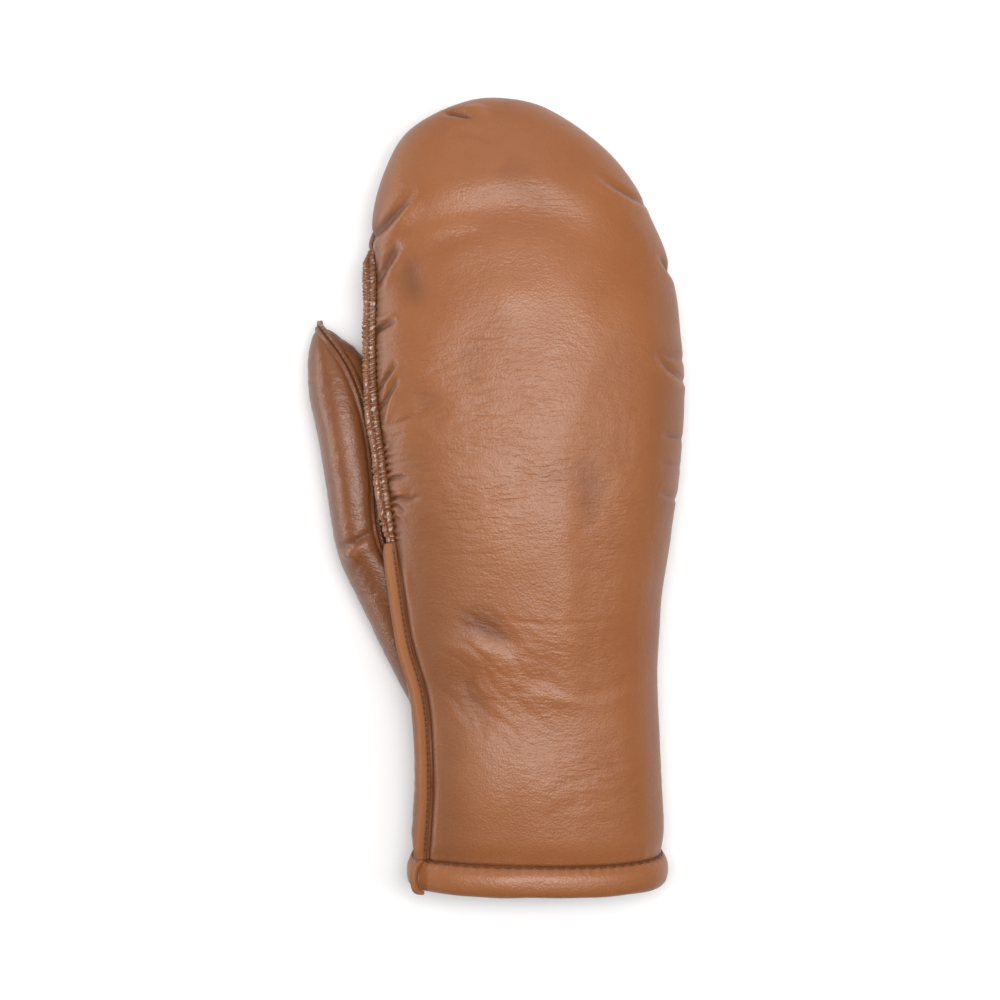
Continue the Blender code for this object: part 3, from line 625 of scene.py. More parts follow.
# the palm and thumb leather: the tan made darker, as painted shade on the thumb
palmTan = {
    "name": "palmTanLeather",
    "colour": (0.190, 0.064, 0.0205, 1.0),
    "redder": (0.170, 0.052, 0.0150, 1.0),
    "pebble": 0.12,
    "roughness": 0.38,
    "specular": 0.42,
}
seamTan = {
    "name": "seamTanLeather",
    "colour": (0.138, 0.047, 0.0165, 1.0),
    # the painted shade at full strength in the welts' valleys, groove and seam
    "paintedShadeAmount": 1.0,
    "wearAndHighlightAmount": 0.20,
    "roughness": 0.30,
    "specular": 0.62,
}
stripTan = {
    "name": "stripTanLeather",
    "colour": (0.265, 0.098, 0.034, 1.0),
    "redder": (0.245, 0.084, 0.028, 1.0),
    "paler": (0.33, 0.135, 0.055, 1.0),
    "roughness": 0.62,
    "specular": 0.25,
}
tanLeather, palmLeather, seamLeather, stripLeather = (
    grainedLeather({**tan, **changes}) for changes in ({}, palmTan, seamTan, stripTan))

flesh = {
    "colour": (0.40, 0.22, 0.125, 1.0),
    "paler": (0.50, 0.29, 0.17, 1.0),
    "darker": (0.25, 0.12, 0.06, 1.0),
    "roughness": 0.82,
    "sheen": 0.4,
}


def fleshSide(look):
    # the unseen rough side: a nap of two noises for colour and height
    material, tree, shader, place = newMaterial("fleshSideLeather")
    nap = noiseNode(tree, place, 1400.0, 4.0)
    tone = mixColours(tree, noiseNode(tree, place, 160.0, 3.0, 0.5), look["colour"], look["paler"])
    tree.links.new(overlaid(tree, tone, ((nap, 0.4, look["darker"]),)), shader.inputs["Base Color"])
    tree.links.new(mathNode(tree, "MULTIPLY_ADD", nap, 0.1, look["roughness"]), shader.inputs["Roughness"])
    putBump(tree, shader, nap, 0.0002, 0.8)
    shader.inputs["Sheen Weight"].default_value = look["sheen"]
    return material


thread = {
    "dark": (0.050, 0.017, 0.006, 1.0),
    "bright": (0.14, 0.050, 0.018, 1.0),
    "twistScale": 900.0,
    "roughness": 0.7,
}


def sewingThread(look):
    # twisted thread: bright and dark bands slanting round its length, set off by noise
    material, tree, shader, place = newMaterial("brownThread")
    bands = {"Vector": place, "Scale": look["twistScale"], "Distortion": 1.5}
    twist = addNode(tree, "ShaderNodeTexWave", bands, bands_direction="DIAGONAL").outputs[1]
    tree.links.new(mixColours(tree, twist, look["dark"], look["bright"]), shader.inputs["Base Color"])
    tree.links.new(mathNode(tree, "MULTIPLY_ADD", twist, -0.15, look["roughness"]), shader.inputs["Roughness"])
    putBump(tree, shader, twist, 0.00008, 1.0)
    return material


fleshLeather = fleshSide(flesh)
brownThread = sewingThread(thread)
print("materials made")

body = bodyForm()
thumb = thumbForm()
bodySeam = seamLine(body, evenRows(body, 24))
thumbSeam = seamLine(thumb, evenRows(thumb, 24))
seams = {
    "gatherStart": lengthAt(bodySeam, 0.414),
    "gatherEnd": lengthAt(bodySeam, 0.801),
    "indexEnd": bodySeam["length"][bodySeam["tip"]],
    "gatheredRows": (4.3, 9.7),  # where the gathered part lies among bodyRows
}

# The back: broad puffs and hollows, then sharp folds, in millimetres on the plan: x0, y0, x1, y1, bow, width, depth
backFolds = (
    (-44.5, 83.8, 38.2, 76.1, 0.20, 7.7, -1.68),
    (-40.3, 96.5, 38.2, 91.4, 0.16, 8.8, 1.44),
    (9.5, -66.0, 10.6, 47.6, 0.00, 12.1, 1.08),
    (-40.5, 84.5, -13.0, 91.0, 0.08, 2.8, 0.50),
    (-37.0, 77.5, -9.0, 88.6, 0.10, 3.4, -0.50),
    (-41.0, 79.0, -35.5, 62.0, 0.05, 4.2, -0.75),
    (-39.0, 37.5, -25.0, 27.5, -0.05, 4.6, -0.60),
    (14.5, -66.0, 14.0, 38.0, 0.01, 4.2, 0.26),
    (22.0, -48.0, 21.5, 26.0, 0.02, 5.5, -0.34),
    (-27.0, 21.0, 22.0, 24.0, 0.03, 4.5, 0.20),
    (-12.0, 66.0, 10.0, 64.0, 0.10, 9.0, 0.35),
    (4.0, -60.0, 44.0, -46.0, -0.26, 2.4, -0.20),
    (8.0, -64.0, 46.0, -44.0, -0.28, 3.2, 0.22),
    (-23.0, -36.0, 2.0, -54.0, 0.06, 1.1, -0.18),
    (-26.0, -44.0, -4.0, -62.0, 0.06, 1.0, -0.16),
    (-31.0, -60.0, -16.0, -78.0, 0.05, 1.3, -0.18),
    (8.0, -97.0, 40.0, -86.0, 0.06, 1.4, -0.14),
    (6.0, -105.0, 38.0, -98.0, 0.08, 1.8, -0.16),
    (20.0, 105.0, 42.0, 82.0, 0.10, 3.0, 0.30),
    (-44.0, 112.0, -30.0, 121.0, 0.10, 5.0, 0.40),
    (-52.5, 88.0, -36.0, 103.5, -0.04, 1.7, -1.9),
    (-50.0, 86.5, -35.0, 100.5, -0.04, 2.6, 0.9),
    (-49.8, 73.0, -42.6, 86.0, 0.03, 1.6, -1.7),
    (-48.2, 70.0, -41.0, 83.0, 0.03, 2.2, 0.7),
    (-53.0, 55.3, -43.0, 59.6, 0.05, 1.2, -1.5),
    (-52.0, 57.8, -42.6, 61.8, 0.05, 1.3, 0.6),
    (-50.0, 37.0, -43.0, 46.4, -0.05, 0.9, -1.4),
    (-47.0, 38.0, -41.8, 45.0, -0.05, 1.0, 0.7),
    (-50.0, 30.5, -42.7, 40.8, -0.08, 1.0, -1.4),
    (-47.4, 24.0, -43.9, 38.0, -0.06, 1.2, 0.8),
    (-46.7, 24.3, -31.6, 31.1, -0.06, 0.8, -0.55),
    (-46.0, 18.0, -40.0, 22.0, 0.10, 1.0, -0.5),
    (-45.5, 7.0, -39.0, 7.2, 0.06, 0.8, -0.6),
    (-45.4, 4.4, -38.6, 2.6, -0.08, 1.5, 0.75),
    (-46.0, 0.7, -33.9, 1.5, -0.10, 0.8, -0.8),
    (-44.6, -1.6, -40.5, -5.0, 0.05, 0.9, -0.6),
    (-44.0, -3.6, -39.5, -8.0, 0.05, 1.0, 0.4),
    (-12.6, -2.1, 1.2, 0.2, 0.06, 0.6, -0.25),
    (-22.9, -46.9, -1.9, -62.0, 0.10, 4.5, 0.75),
    (-19.0, -42.5, -2.5, -50.5, 0.12, 4.5, -0.70),
    (-19.0, -62.0, -10.5, -77.0, -0.06, 5.0, -0.75),
    (-17.0, -57.0, -11.6, -66.0, -0.10, 0.8, 0.35),
    (-8.5, -39.0, 35.3, -38.5, -0.05, 0.8, -0.16),
    (-2.0, -62.0, 20.0, -64.0, -0.10, 3.5, 0.35),
    (40.0, 100.0, 24.0, 108.0, 0.03, 1.2, -1.1),
    (38.0, 98.0, 17.0, 109.4, 0.03, 2.2, 0.50),
    (51.5, 75.5, 44.8, 82.6, 0.00, 1.2, -1.3),
    (54.0, 40.0, 42.5, 50.0, 0.08, 1.2, -0.9),
    (53.4, 37.6, 41.5, 47.4, 0.08, 2.0, 0.45),
    (53.5, 47.4, 43.0, 49.8, 0.05, 1.4, -0.7),
    (52.4, 20.7, 45.0, 21.6, 0.00, 1.2, -0.9),
    (51.5, 11.4, 44.0, 12.6, 0.00, 1.1, -0.6),
    (52.6, 0.2, 44.0, 2.4, 0.00, 1.0, -0.9),
    (-26.0, 130.5, -17.0, 127.5, 0.05, 1.1, -2.0),
    (-19.0, 131.5, -10.5, 129.5, 0.05, 1.2, 0.6),
    (-23.5, 122.5, -9.0, 118.5, 0.05, 1.3, -0.4),
)


def rolled(toSeam, rolls):  # the leather beside a seam: bells of a height, a distance from the seam and a width
    return sum(height * bell(toSeam, centre, width) for height, centre, width in rolls)


def puckers(seamLength, toSeam, look):
    # ridges square to the gathered seam: height |sin(pi s / pitch)|^0.7 exp(-(d / r)^1.5), with noise in the height,
    # the phase and the reach r, so that some run far into the leather
    start, end = seams["gatherStart"], seams["gatherEnd"]
    inside = smoothStep(seamLength, start - 0.002, start + 0.004) * (1 - smoothStep(seamLength, end - 0.006, end))
    uneven = 0.75 + 0.9 * gradientNoise(seamLength * 230, toSeam * 60 + 3.3, 11)
    drift = 0.9 * gradientNoise(seamLength / 0.0052, toSeam / 0.009, 14)
    wave = np.abs(np.sin(np.pi * seamLength / look["pitch"] + drift)) ** 0.7 - 0.62
    far = look["reach"] * (1.0 + 1.3 * np.clip(gradientNoise(seamLength / 0.0047, 8.4, 15), -0.5, 1))
    return inside * look["height"] * uneven * wave * np.exp(-((toSeam / far) ** 1.5)) * clearOf(toSeam, 0.0006)


# The back's relief in metres. On the outer flank, as far across and as low as the two bands say, the folds lean,
# waver and fade, as puffed leather's do. A roll is height, distance from the seam and width. A wave is height, size
# across, size along and seed. A crease is height, length, width, turn, sharpness, seed and the patch where it shows
backSurface = {
    "flankAcross": (0.036, 0.046),
    "flankBelow": (0.016, 0.027),
    "flankTop": 0.026,
    "foldLean": 0.55,
    "foldWaver": 0.0022,
    "foldFade": 0.85,
    "fadeOver": (0.004, 0.017),
    "rolls": ((0.00024, 0.0009, 0.0005), (-0.00030, 0.0019, 0.0006), (0.00060, 0.0044, 0.0020)),
    "puckers": {"pitch": 0.0023, "reach": 0.0050, "height": 0.0021},
    "hemPleat": 0.00013,
    "hemPleatPitch": 0.0036,
    "waves": ((0.0007, 0.034, 0.042, 3), (0.00025, 0.013, 0.016, 4)),
    "creases": (
        (0.00012, 0.011, 0.0042, 5, 0.22, 21, (-18, 18, 34, 40)),
        (0.00020, 0.014, 0.0046, -42, 0.22, 22, (-6, -58, 26, 24)),
        (0.00012, 0.014, 0.0040, 84, 0.2, 23, (28, 0, 20, 70)),
        (0.00018, 0.012, 0.0046, 24, 0.22, 24, (24, -92, 24, 14)),
    ),
}


def backRelief(points, toSeam, seamLength, toHem):
    look = backSurface
    x, y, z = points[..., 0], points[..., 1], points[..., 2]
    flank = smoothStep(x, *look["flankAcross"]) * (1 - smoothStep(z, *look["flankBelow"]))
    drop = look["flankTop"] - z
    waver = look["foldWaver"] * gradientNoise(z / 0.009, y / 0.017, 17)
    leant = np.stack([x, y + flank * (look["foldLean"] * drop + waver), z], axis=-1)
    fading = smoothStep(drop + 0.006 * gradientNoise(y / 0.014, 4.4, 18), *look["fadeOver"])
    lift = foldLift(leant, backFolds) * (1 - look["foldFade"] * flank * fading) * clearOf(toSeam, 0.0016)
    # the leather rolls up beside the plain seam, then falls into a groove before it fills out
    start = seams["gatherStart"]
    onIndex = seamLength < seams["indexEnd"]
    ragged = 0.8 + 0.7 * gradientNoise(seamLength / 0.011, 2.2, 16)
    besidePlain = (onIndex & (seamLength < start)) * (1 - smoothStep(seamLength, start - 0.012, start))
    lift += rolled(toSeam, look["rolls"]) * ragged * besidePlain
    # the puckers are lower towards the fingertip
    low = 0.45 + 0.55 * (1 - smoothStep(y, 0.010, 0.030))
    lift += puckers(seamLength, toSeam, look["puckers"]) * low * onIndex
    # the hem's stitching draws small pleats
    uneven = 0.6 + gradientNoise(x / 0.009, 1.7, 12)
    pleats = look["hemPleat"] * uneven * np.sin(2 * np.pi * x / look["hemPleatPitch"])
    lift += pleats * bell(toHem, 0, 0.003) * clearOf(toHem, 0.0006)
    clear = clearOf(toSeam, 0.006)
    for height, wide, long, seed in look["waves"]:
        lift += clear * height * gradientNoise(x / wide, y / long, seed)
    for height, length, width, turn, sharp, seed, where in look["creases"]:
        lift += clear * height * patch(points, *where) * creases(x, y, length, width, turn, sharp, seed)
    return lift


def painted(points, runs, most):
    # how strong each of the four runs of wrinkles is, up to the most: a base, and patches of a weight, x, y, half
    # width and half height in millimetres
    masks = [base + sum(weight * patch(points, *where) for weight, *where in patches) for base, *patches in runs]
    return np.stack([np.clip(mask + np.zeros(points.shape[:-1]), 0, most) for mask in masks], axis=-1)


backRuns = (
    (0.2, (1.0, -18, 22, 36, 46), (0.8, -6, 94, 42, 14)),
    (0.0, (1.0, -6, -60, 26, 26), (0.8, -34, -22, 10, 16)),
    (0.1, (0.8, 26, 8, 20, 72)),
    (0.0, (1.0, 24, -92, 24, 16), (0.3, 20, -45, 18, 16)),
)


def backMasks(points):
    return painted(points, backRuns, 1.0)


def seamShade(toSeam, toHem, lift, paintedShade):
    # painted shade along the seams, along the hem, in the creases and in the painted patches
    hollow = 0.62 * bell(toSeam, 0, 0.0018) + 0.30 * bell(toSeam, 0, 0.016)
    hollow += 0.45 * bell(toHem, 0, 0.0012) + paintedShade
    hollow = np.clip(hollow + np.clip((-lift - 0.00035) / 0.0009, 0, 1) * 0.85, 0, 1)
    # paler on the crests: rubbed leather and a painted highlight
    wearAndHighlight = np.clip(lift / 0.0006, 0, 1) * 0.6
    return np.stack([hollow, wearAndHighlight, np.zeros_like(hollow), np.ones_like(hollow)], axis=-1)


def leatherPanel(name, form, look, overFirst, relief, masks, material, node):
    outer, inner, plain, shade = panelSkin(form, look, overFirst, relief)
    piece = shellPiece(name, outer, inner, look["innerEvery"], material, fleshLeather)
    giveAttributes(piece, gridValues(developed(plain)), gridValues(masks(plain)), gridValues(shade))
    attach(piece, "root")
    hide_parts(node)
    print(name, len(piece.data.polygons), "faces")
    return piece


def backPaintedShade(points):
    # painted shade down the index side of the cuff and the outer side, and less of it in the hollow, a painted
    # highlight
    darker = 0.30 * patch(points, -31, -62, 17, 84) + 0.30 * patch(points, 50, -20, 9, 100)
    return darker - 0.22 * patch(points, -26, 66, 16, 28)


# no painted shade patches on the palm and thumb
def noPaintedShade(points):
    return 0.0


backLook = {
    "rows": closerRows(body, 32, *seams["gatheredRows"], 0.8),
    "steps": 200,
    "crowding": 0.6,
    "innerEvery": 4,
    "hemmed": True,
    "broadFolds": backFolds[:3],
    # the back's painted shade and painted highlight patches
    "paintedShade": backPaintedShade,
}
leatherPanel("backLeather", body, backLook, True, backRelief, backMasks, tanLeather, "back_panel")


def palmRelief(points, toSeam, seamLength, toHem):
    # soft creases across the palm where the hand bends, fading where the leather lies flat
    x, y = points[..., 0], points[..., 1]
    off = smoothStep(points[..., 2], 0.0005, 0.006)
    lift = 0.0005 * gradientNoise(x / 0.030, y / 0.036, 31) * off
    lift += 0.00018 * creases(x, y, 0.016, 0.005, 8, 0.22, 32) * off
    gathered = puckers(seamLength, toSeam, {"pitch": 0.0026, "reach": 0.0040, "height": 0.0007})
    return lift * clearOf(toSeam, 0.006) + gathered * (seamLength < seams["indexEnd"])


palmRuns = (
    (0.35, (0.3, 0, 10, 50, 60)),
    (0.0, (0.3, -30, -60, 30, 40)),
    (0.105, (0.09, 0, 10, 50, 60)),
    (0.0,),
)


def palmMasks(points):
    return painted(points, palmRuns, 1.0)


palmLook = {
    "rows": closerRows(body, 20, *seams["gatheredRows"], 0.8),
    "steps": 132,
    "crowding": 0.6,
    "innerEvery": 4,
    "hemmed": True,
    "broadFolds": (),
    "paintedShade": noPaintedShade,
}
palm = leatherPanel("palmLeather", body, palmLook, False, palmRelief, palmMasks, palmLeather,
                    "palm_panel")

# The thumb's folds, in the same columns as the back's
thumbFolds = (
    (-61.5, -15.6, -50.0, -9.4, -0.05, 1.2, -1.5),
    (-61.0, -18.0, -56.5, -19.0, -0.10, 1.3, 0.8),
    (-60.0, -18.5, -52.0, -14.0, 0.10, 2.2, 0.5),
    (-54.8, -19.0, -60.5, -28.0, 0.03, 0.9, -0.45),
    (-53.0, -19.5, -58.5, -31.0, 0.03, 0.9, -0.45),
    (-51.0, -20.5, -56.0, -33.0, 0.03, 0.9, -0.45),
    (-49.0, -22.5, -53.5, -34.5, 0.03, 0.9, -0.40),
    (-64.5, 55.0, -57.5, 48.8, 0.05, 0.8, -0.5),
    (-63.5, 51.5, -56.5, 46.4, 0.05, 0.7, -0.4),
    (-66.0, 57.0, -60.0, 53.6, 0.05, 0.7, -0.4),
    (-65.4, 15.7, -55.5, 20.4, 0.06, 0.6, -0.35),
    (-69.0, 30.0, -62.0, 33.0, 0.06, 0.8, -0.25),
    (-68.0, 3.0, -61.0, 8.0, 0.06, 0.8, -0.25),
)
thumbRolls = ((0.00035, 0.0014, 0.0006), (-0.0003, 0.0028, 0.0007))
thumbRuns = (
    (0.4, (0.7, -66, 36, 12, 20)),
    (0.08, (0.14, -66, 36, 12, 20)),
    (0.08, (0.14, -66, 36, 12, 20)),
    (0.0, (1.3, -60, -28, 14, 26), (0.9, -66, 5, 14, 25)),
)


def thumbRelief(points, toSeam, seamLength, toHem):
    # folds, broad waves and creases clear of the seams, and the roll of leather beside them
    x, y = points[..., 0], points[..., 1]
    lift = foldLift(points, thumbFolds)
    lift += 0.00035 * gradientNoise(x / 0.014, y / 0.020, 41)
    lift += 0.00012 * creases(x, y, 0.008, 0.0032, 30, 0.22, 42)
    return lift * clearOf(toSeam, 0.0022) + rolled(toSeam, thumbRolls)


def thumbMasks(points):
    return painted(points, thumbRuns, 2.0)


thumbLook = {
    "rows": evenRows(thumb, 12),
    "steps": 96,
    "crowding": 0.5,
    "innerEvery": 4,
    "hemmed": False,
    "broadFolds": (),
    "paintedShade": noPaintedShade,
}
innerLook = dict(thumbLook, steps=64)
thumbOuter = leatherPanel("thumbOuterLeather", thumb, thumbLook, False, thumbRelief, thumbMasks, palmLeather,
                          "thumb_outer_panel")
thumbInner = leatherPanel("thumbInnerLeather", thumb, innerLook, True, thumbRelief, thumbMasks, palmLeather,
                          "thumb_inner_panel")


def ringFaces(low, high):  # quads between two rings of vertices, or between many pairs of them
    quads = [low, np.roll(low, -1, axis=-1), np.roll(high, -1, axis=-1), high]
    return np.stack(quads, -1).reshape(-1, 4).tolist()


def closedForm(form, rowSteps, steps):  # the section skin all round, closed by a flat face at its open end
    u = np.repeat(evenRows(form, rowSteps)[:, None], steps, axis=1)
    theta = np.repeat(np.linspace(0, 2 * np.pi, steps, endpoint=False)[None], len(u), axis=0)
    numbers = np.arange((len(u) - 1) * steps).reshape(-1, steps)
    cap = np.stack([numbers[-1], np.roll(numbers[-1], -1), np.full(steps, numbers.size)], -1)
    faces = ringFaces(numbers[:-1], numbers[1:]) + cap.tolist() + [numbers[0, ::-1].tolist()]
    cutter = putMesh("cutter", gridValues(skin(form, u, theta)), faces, [])
    turnOutwards(cutter, mergeWithin=1e-7)
    return cutter


def cutAway(pieces, cutter):  # each piece less the cutter's inside, kept as a plain mesh
    for piece in pieces:
        boolean = piece.modifiers.new("cut", "BOOLEAN")
        boolean.operation = "DIFFERENCE"
        boolean.object = cutter
        view = bpy.context.evaluated_depsgraph_get()
        mesh = bpy.data.meshes.new_from_object(piece.evaluated_get(view), depsgraph=view)
        piece.modifiers.clear()
        old, piece.data = piece.data, mesh
        bpy.data.meshes.remove(old)
        mesh.name = piece.name
        print(piece.name, "cut to", len(mesh.polygons), "faces")
    used = cutter.data
    bpy.data.objects.remove(cutter, do_unlink=True)
    bpy.data.meshes.remove(used)


# The thumb ends at the hand's outside, and the palm is open where the thumb's inside meets it
cutAway([thumbOuter, thumbInner], closedForm(insetForm(body, -hand["gap"]), 8, 96))
cutAway([palm], closedForm(insetForm(thumb, hand["wall"]), 6, 64))


def closedTube(name, rings, material, ends):
    # a skin over closed rings: joined into a ring, or closed by a flat face at each end
    count, around = rings.shape[:2]
    numbers = np.arange(count * around).reshape(count, around)
    if ends:
        faces = ringFaces(numbers[:-1], numbers[1:]) + [numbers[0, ::-1].tolist(), numbers[-1].tolist()]
    else:
        faces = ringFaces(numbers, np.roll(numbers, -1, axis=0))
    piece = putMesh(name, rings, faces, [material])
    turnOutwards(piece)
    return piece


def finished(piece, node):
    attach(piece, "root")
    if node:
        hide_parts(*node)
    print(piece.name, len(piece.data.polygons), "faces")
    return piece


# The hem: a padded band turned over the edge. Its section is in shares: down the band, and out from the skin
hem = {
    "height": 0.0103,
    "thickness": 0.0034,
    "aroundSteps": 480,
    "sectionSteps": 5,
    "wrinkles": 0.25,
    "upright": 0.3,
    "stitchPitch": 0.0036,
    "stitchAt": (0.02, -0.20),
    "stitchSpan": (0.12, 0.86),  # shares of the pitch
    "stitchRadius": 0.00025,
    "stitchBow": 0.00012,
    "stitchesAbove": 0.0012,  # none where the hem lies on the floor
}
hemSection = ((0.00, -0.35), (0.13, 0.05), (0.32, 0.30), (0.60, 0.34), (0.84, 0.20), (0.96, -0.08), (1.00, -0.40),
              (0.96, -0.75), (0.84, -0.94), (0.45, -1.00), (0.00, -0.92))


def hemPoints(theta, section):
    # the section carried round the opening: skin + normal * out, then down from the stitching along the lean
    start = np.zeros(len(theta))
    around, outward = skin(body, start, theta)[:, None], skinNormal(body, start, theta)
    rings = around + outward[:, None] * (section[..., 1] * hem["thickness"])[..., None]
    rings[..., 2] = np.maximum(rings[..., 2], 0.0)
    leant = around[..., 1] + body["lean"][0] * (rings[..., 2] - around[..., 2])
    rings[..., 1] = leant - hand["gap"] / 2 - section[..., 0] * hem["height"]
    return rings, outward


def buildHem():
    # the section's rows joined by a cubic, with slow waves round the band and a dimple at each stitch
    rows = np.array(hemSection)
    u = np.arange(len(rows) * hem["sectionSteps"]) / hem["sectionSteps"]
    i, t = np.floor(u).astype(int), (u - np.floor(u))[:, None]
    section = catmullRom(*(rows[(i + k) % len(rows)] for k in (-1, 0, 1, 2)), t)
    theta = np.linspace(0, 2 * np.pi, hem["aroundSteps"], endpoint=False)
    line, _ = hemPoints(theta, np.zeros((len(theta), 1, 2)))
    length = lengthsAlong(line[:, 0])
    total = length[-1] + np.linalg.norm(line[0, 0] - line[-1, 0])
    stitches = int(round(total / hem["stitchPitch"]))
    phase = (2 * np.pi * length / total)[:, None]
    down, out = (np.repeat(part[None], len(theta), axis=0) for part in section.T)
    outside = out > -0.5
    wave = 0.35 * np.sin(3 * phase + 1.0) + 0.3 * np.sin(7 * phase) + 0.2 * np.sin(13 * phase + 2.0)
    dimples = bell(down, 0.06, 0.09) * outside * 0.07 * np.cos(stitches * phase)
    swell = 0.13 * wave * np.sin(np.pi * np.clip(down, 0, 1)) * outside
    rings, _ = hemPoints(theta, np.stack([down + 0.03 * wave * down, out + dimples + swell], axis=-1))
    piece = closedTube("cuffHem", rings, tanLeather, False)
    none = np.zeros_like(down)
    surface = np.stack([np.repeat(length[:, None], len(u), axis=1), rings[..., 1], none], axis=-1)
    masks = np.stack([none + hem["wrinkles"], none, none + hem["upright"], none], axis=-1)
    # painted shade under the stitching at the top of the band, and a painted highlight along its swell
    shade = np.stack([0.8 * bell(down, 0, 0.07), 0.4 * bell(down, 0.45, 0.25), none, none + 1], axis=-1)
    giveAttributes(piece, surface.reshape(-1, 3), masks.reshape(-1, 4), shade.reshape(-1, 4))
    finished(piece, ["cuff_hem"])
    return stitches


hemStitches = buildHem()


def strip(name, path, look, material, node):
    # a strip that stands out of a seam: a rounded box section, |cos|^0.35 across and |sin|^0.5 outwards, with pleats
    # (|sin|^0.6 along it, the outer row 0.4 of a pitch on), a sewn groove between the rows and two raw edges
    points, outward, forward, pinch, along = path
    beside = unit(np.cross(outward, forward))
    angles = np.linspace(0, 2 * np.pi, look["around"], endpoint=False)
    s, phi = np.meshgrid(along - along[0], angles, indexing="ij")
    across = signedPower(np.cos(phi), 0.35)
    out = 0.5 + 0.5 * signedPower(np.sin(phi), 0.5)
    toEnd = s[-1] - s
    rise = np.clip(np.minimum(s, toEnd) / look["taper"], 0, 1)
    high = look["height"] * (look["endHeight"] + (1 - look["endHeight"]) * rise * (2 - rise))
    high = high + look["nub"] * bell(toEnd, 0, 0.0024)
    thick = look["thickness"] * (0.7 + 0.3 * rise) + 0.9 * look["nub"] * bell(toEnd, 0, 0.0018)
    # the pleats
    outerRow = out > look["grooveAt"]
    coarser = 1 + look["coarseStart"] * (1 - smoothStep(s, 0.014, 0.030))
    passed = np.cumsum(np.diff(s, axis=0, prepend=s[:1]) / (look["pitch"] * coarser), axis=0)
    drift = look["unevenPleats"] * gradientNoise(s / 0.0031, out * 0.8 + 5.1, look["seed"] + 3)
    wave = np.abs(np.sin(np.pi * (passed + look["slant"] * (out - 0.5) + 0.4 * outerRow + drift))) ** 0.6 - 0.62
    pleats = look["pleat"] * (0.75 + 0.9 * gradientNoise(s * 330, out * 1.6, look["seed"])) * wave
    # the skin: sideways from the seam, and out of it
    groove = look["groove"] * bell(out, look["grooveAt"], 0.10)
    wander = look["wander"] * gradientNoise(s / 0.019, 0.7, look["seed"] + 1)
    side = thick / 2 * across + np.sign(across) * (pleats - groove) * np.abs(across)
    side = side + (wander + look["lean"]) * out
    reach = high * out * (1 + 0.10 * gradientNoise(s / 0.012, 0.2, look["seed"] + 2))
    reach += (pleats * 0.8 - look["edgeGroove"] * bell(across, 0, 0.25)) * outerRow + look["seat"] - pinch
    rings = points[:, None] + outward[:, None] * reach[..., None] + beside[:, None] * side[..., None]
    piece = closedTube(name, rings, material, True)
    # painted shade in the pleats, the groove and the seam; rubbed pleat crests with a painted highlight, a paler raw
    # edge
    pleated = look["pleat"] > 0
    paintedShade = np.clip(-wave * 1.6, 0, 1) * pleated * 0.8
    paintedShade = paintedShade + bell(out, look["grooveAt"], 0.12) * 0.6 + bell(out, 0, 0.2) * 0.7
    wearAndHighlight = np.clip(wave * 2, 0, 1) * pleated * 0.6 + 0.3 * (out > 0.85)
    none = np.zeros_like(s)
    shade = np.stack([np.clip(paintedShade, 0, 1), np.clip(wearAndHighlight, 0, 1), none, none + 1], axis=-1)
    surface = np.stack([s, out * high, none], axis=-1)
    masks = np.full(shade.shape, look["wrinkles"])
    giveAttributes(piece, surface.reshape(-1, 3), masks.reshape(-1, 4), shade.reshape(-1, 4))
    return finished(piece, node)


plainStrip = {
    "height": 0.0039,
    "thickness": 0.0022,
    "seat": 0.0001,
    "taper": 0.004,
    "endHeight": 0.75,
    "around": 36,
    "pitch": 0.01,
    "slant": 0.0,
    "pleat": 0.0,
    "unevenPleats": 0.3,
    "coarseStart": 0.0,
    "groove": 0.00022,
    "grooveAt": 0.24,
    "edgeGroove": 0.00025,
    "wander": 0.00025,
    "lean": 0.0013,
    "nub": 0.0,  # the thickening at the far end
    "wrinkles": 0.3,
    "seed": 50,
}
gatheredStrip = dict(plainStrip, height=0.0044, thickness=0.0024, taper=0.011, endHeight=0.55, around=56,
                     pitch=0.0016, slant=0.5, pleat=0.00085, groove=0.00050, grooveAt=0.56, edgeGroove=0.0003,
                     wander=0.0004, coarseStart=0.45, unevenPleats=0.75, lean=0.0003, seed=60)
edgeStrip = dict(plainStrip, height=0.0027, thickness=0.0020, pitch=0.004, pleat=0.00012, groove=0.0002,
                 grooveAt=0.4, lean=0.0, seed=70)
thumbStrip = dict(plainStrip, height=0.0011, thickness=0.0010, pitch=0.0017, slant=0.6, pleat=0.00022,
                  groove=0.00010, grooveAt=0.35, edgeGroove=0.0002, wander=0.0002, endHeight=0.9, nub=0.0014,
                  lean=0.0, seed=80)
hemStrip = dict(plainStrip, height=0.0024, thickness=0.0020, seat=0.0003, taper=0.003, endHeight=0.5, lean=0.0,
                seed=90)
start, end, last = seams["gatherStart"], seams["gatherEnd"], bodySeam["length"][-1]
thumbTop = thumbSeam["length"][thumbSeam["tip"]]
thumbPath = stretch(thumbSeam, lengthAt(thumbSeam, 0.353), thumbTop + 0.0030, 0.0004)
strip("sideWelt", stretch(bodySeam, 0.0, start, 0.0005), plainStrip, stripLeather, ["side_welt"])
strip("gatheredWelt", stretch(bodySeam, start, end, 0.00024), gatheredStrip, seamLeather, ["gathered_welt"])
strip("edgeWelt", stretch(bodySeam, end, last, 0.0006), edgeStrip, seamLeather, ["edge_welt"])
strip("thumbWelt", thumbPath, thumbStrip, seamLeather, ["thumb_welt"])


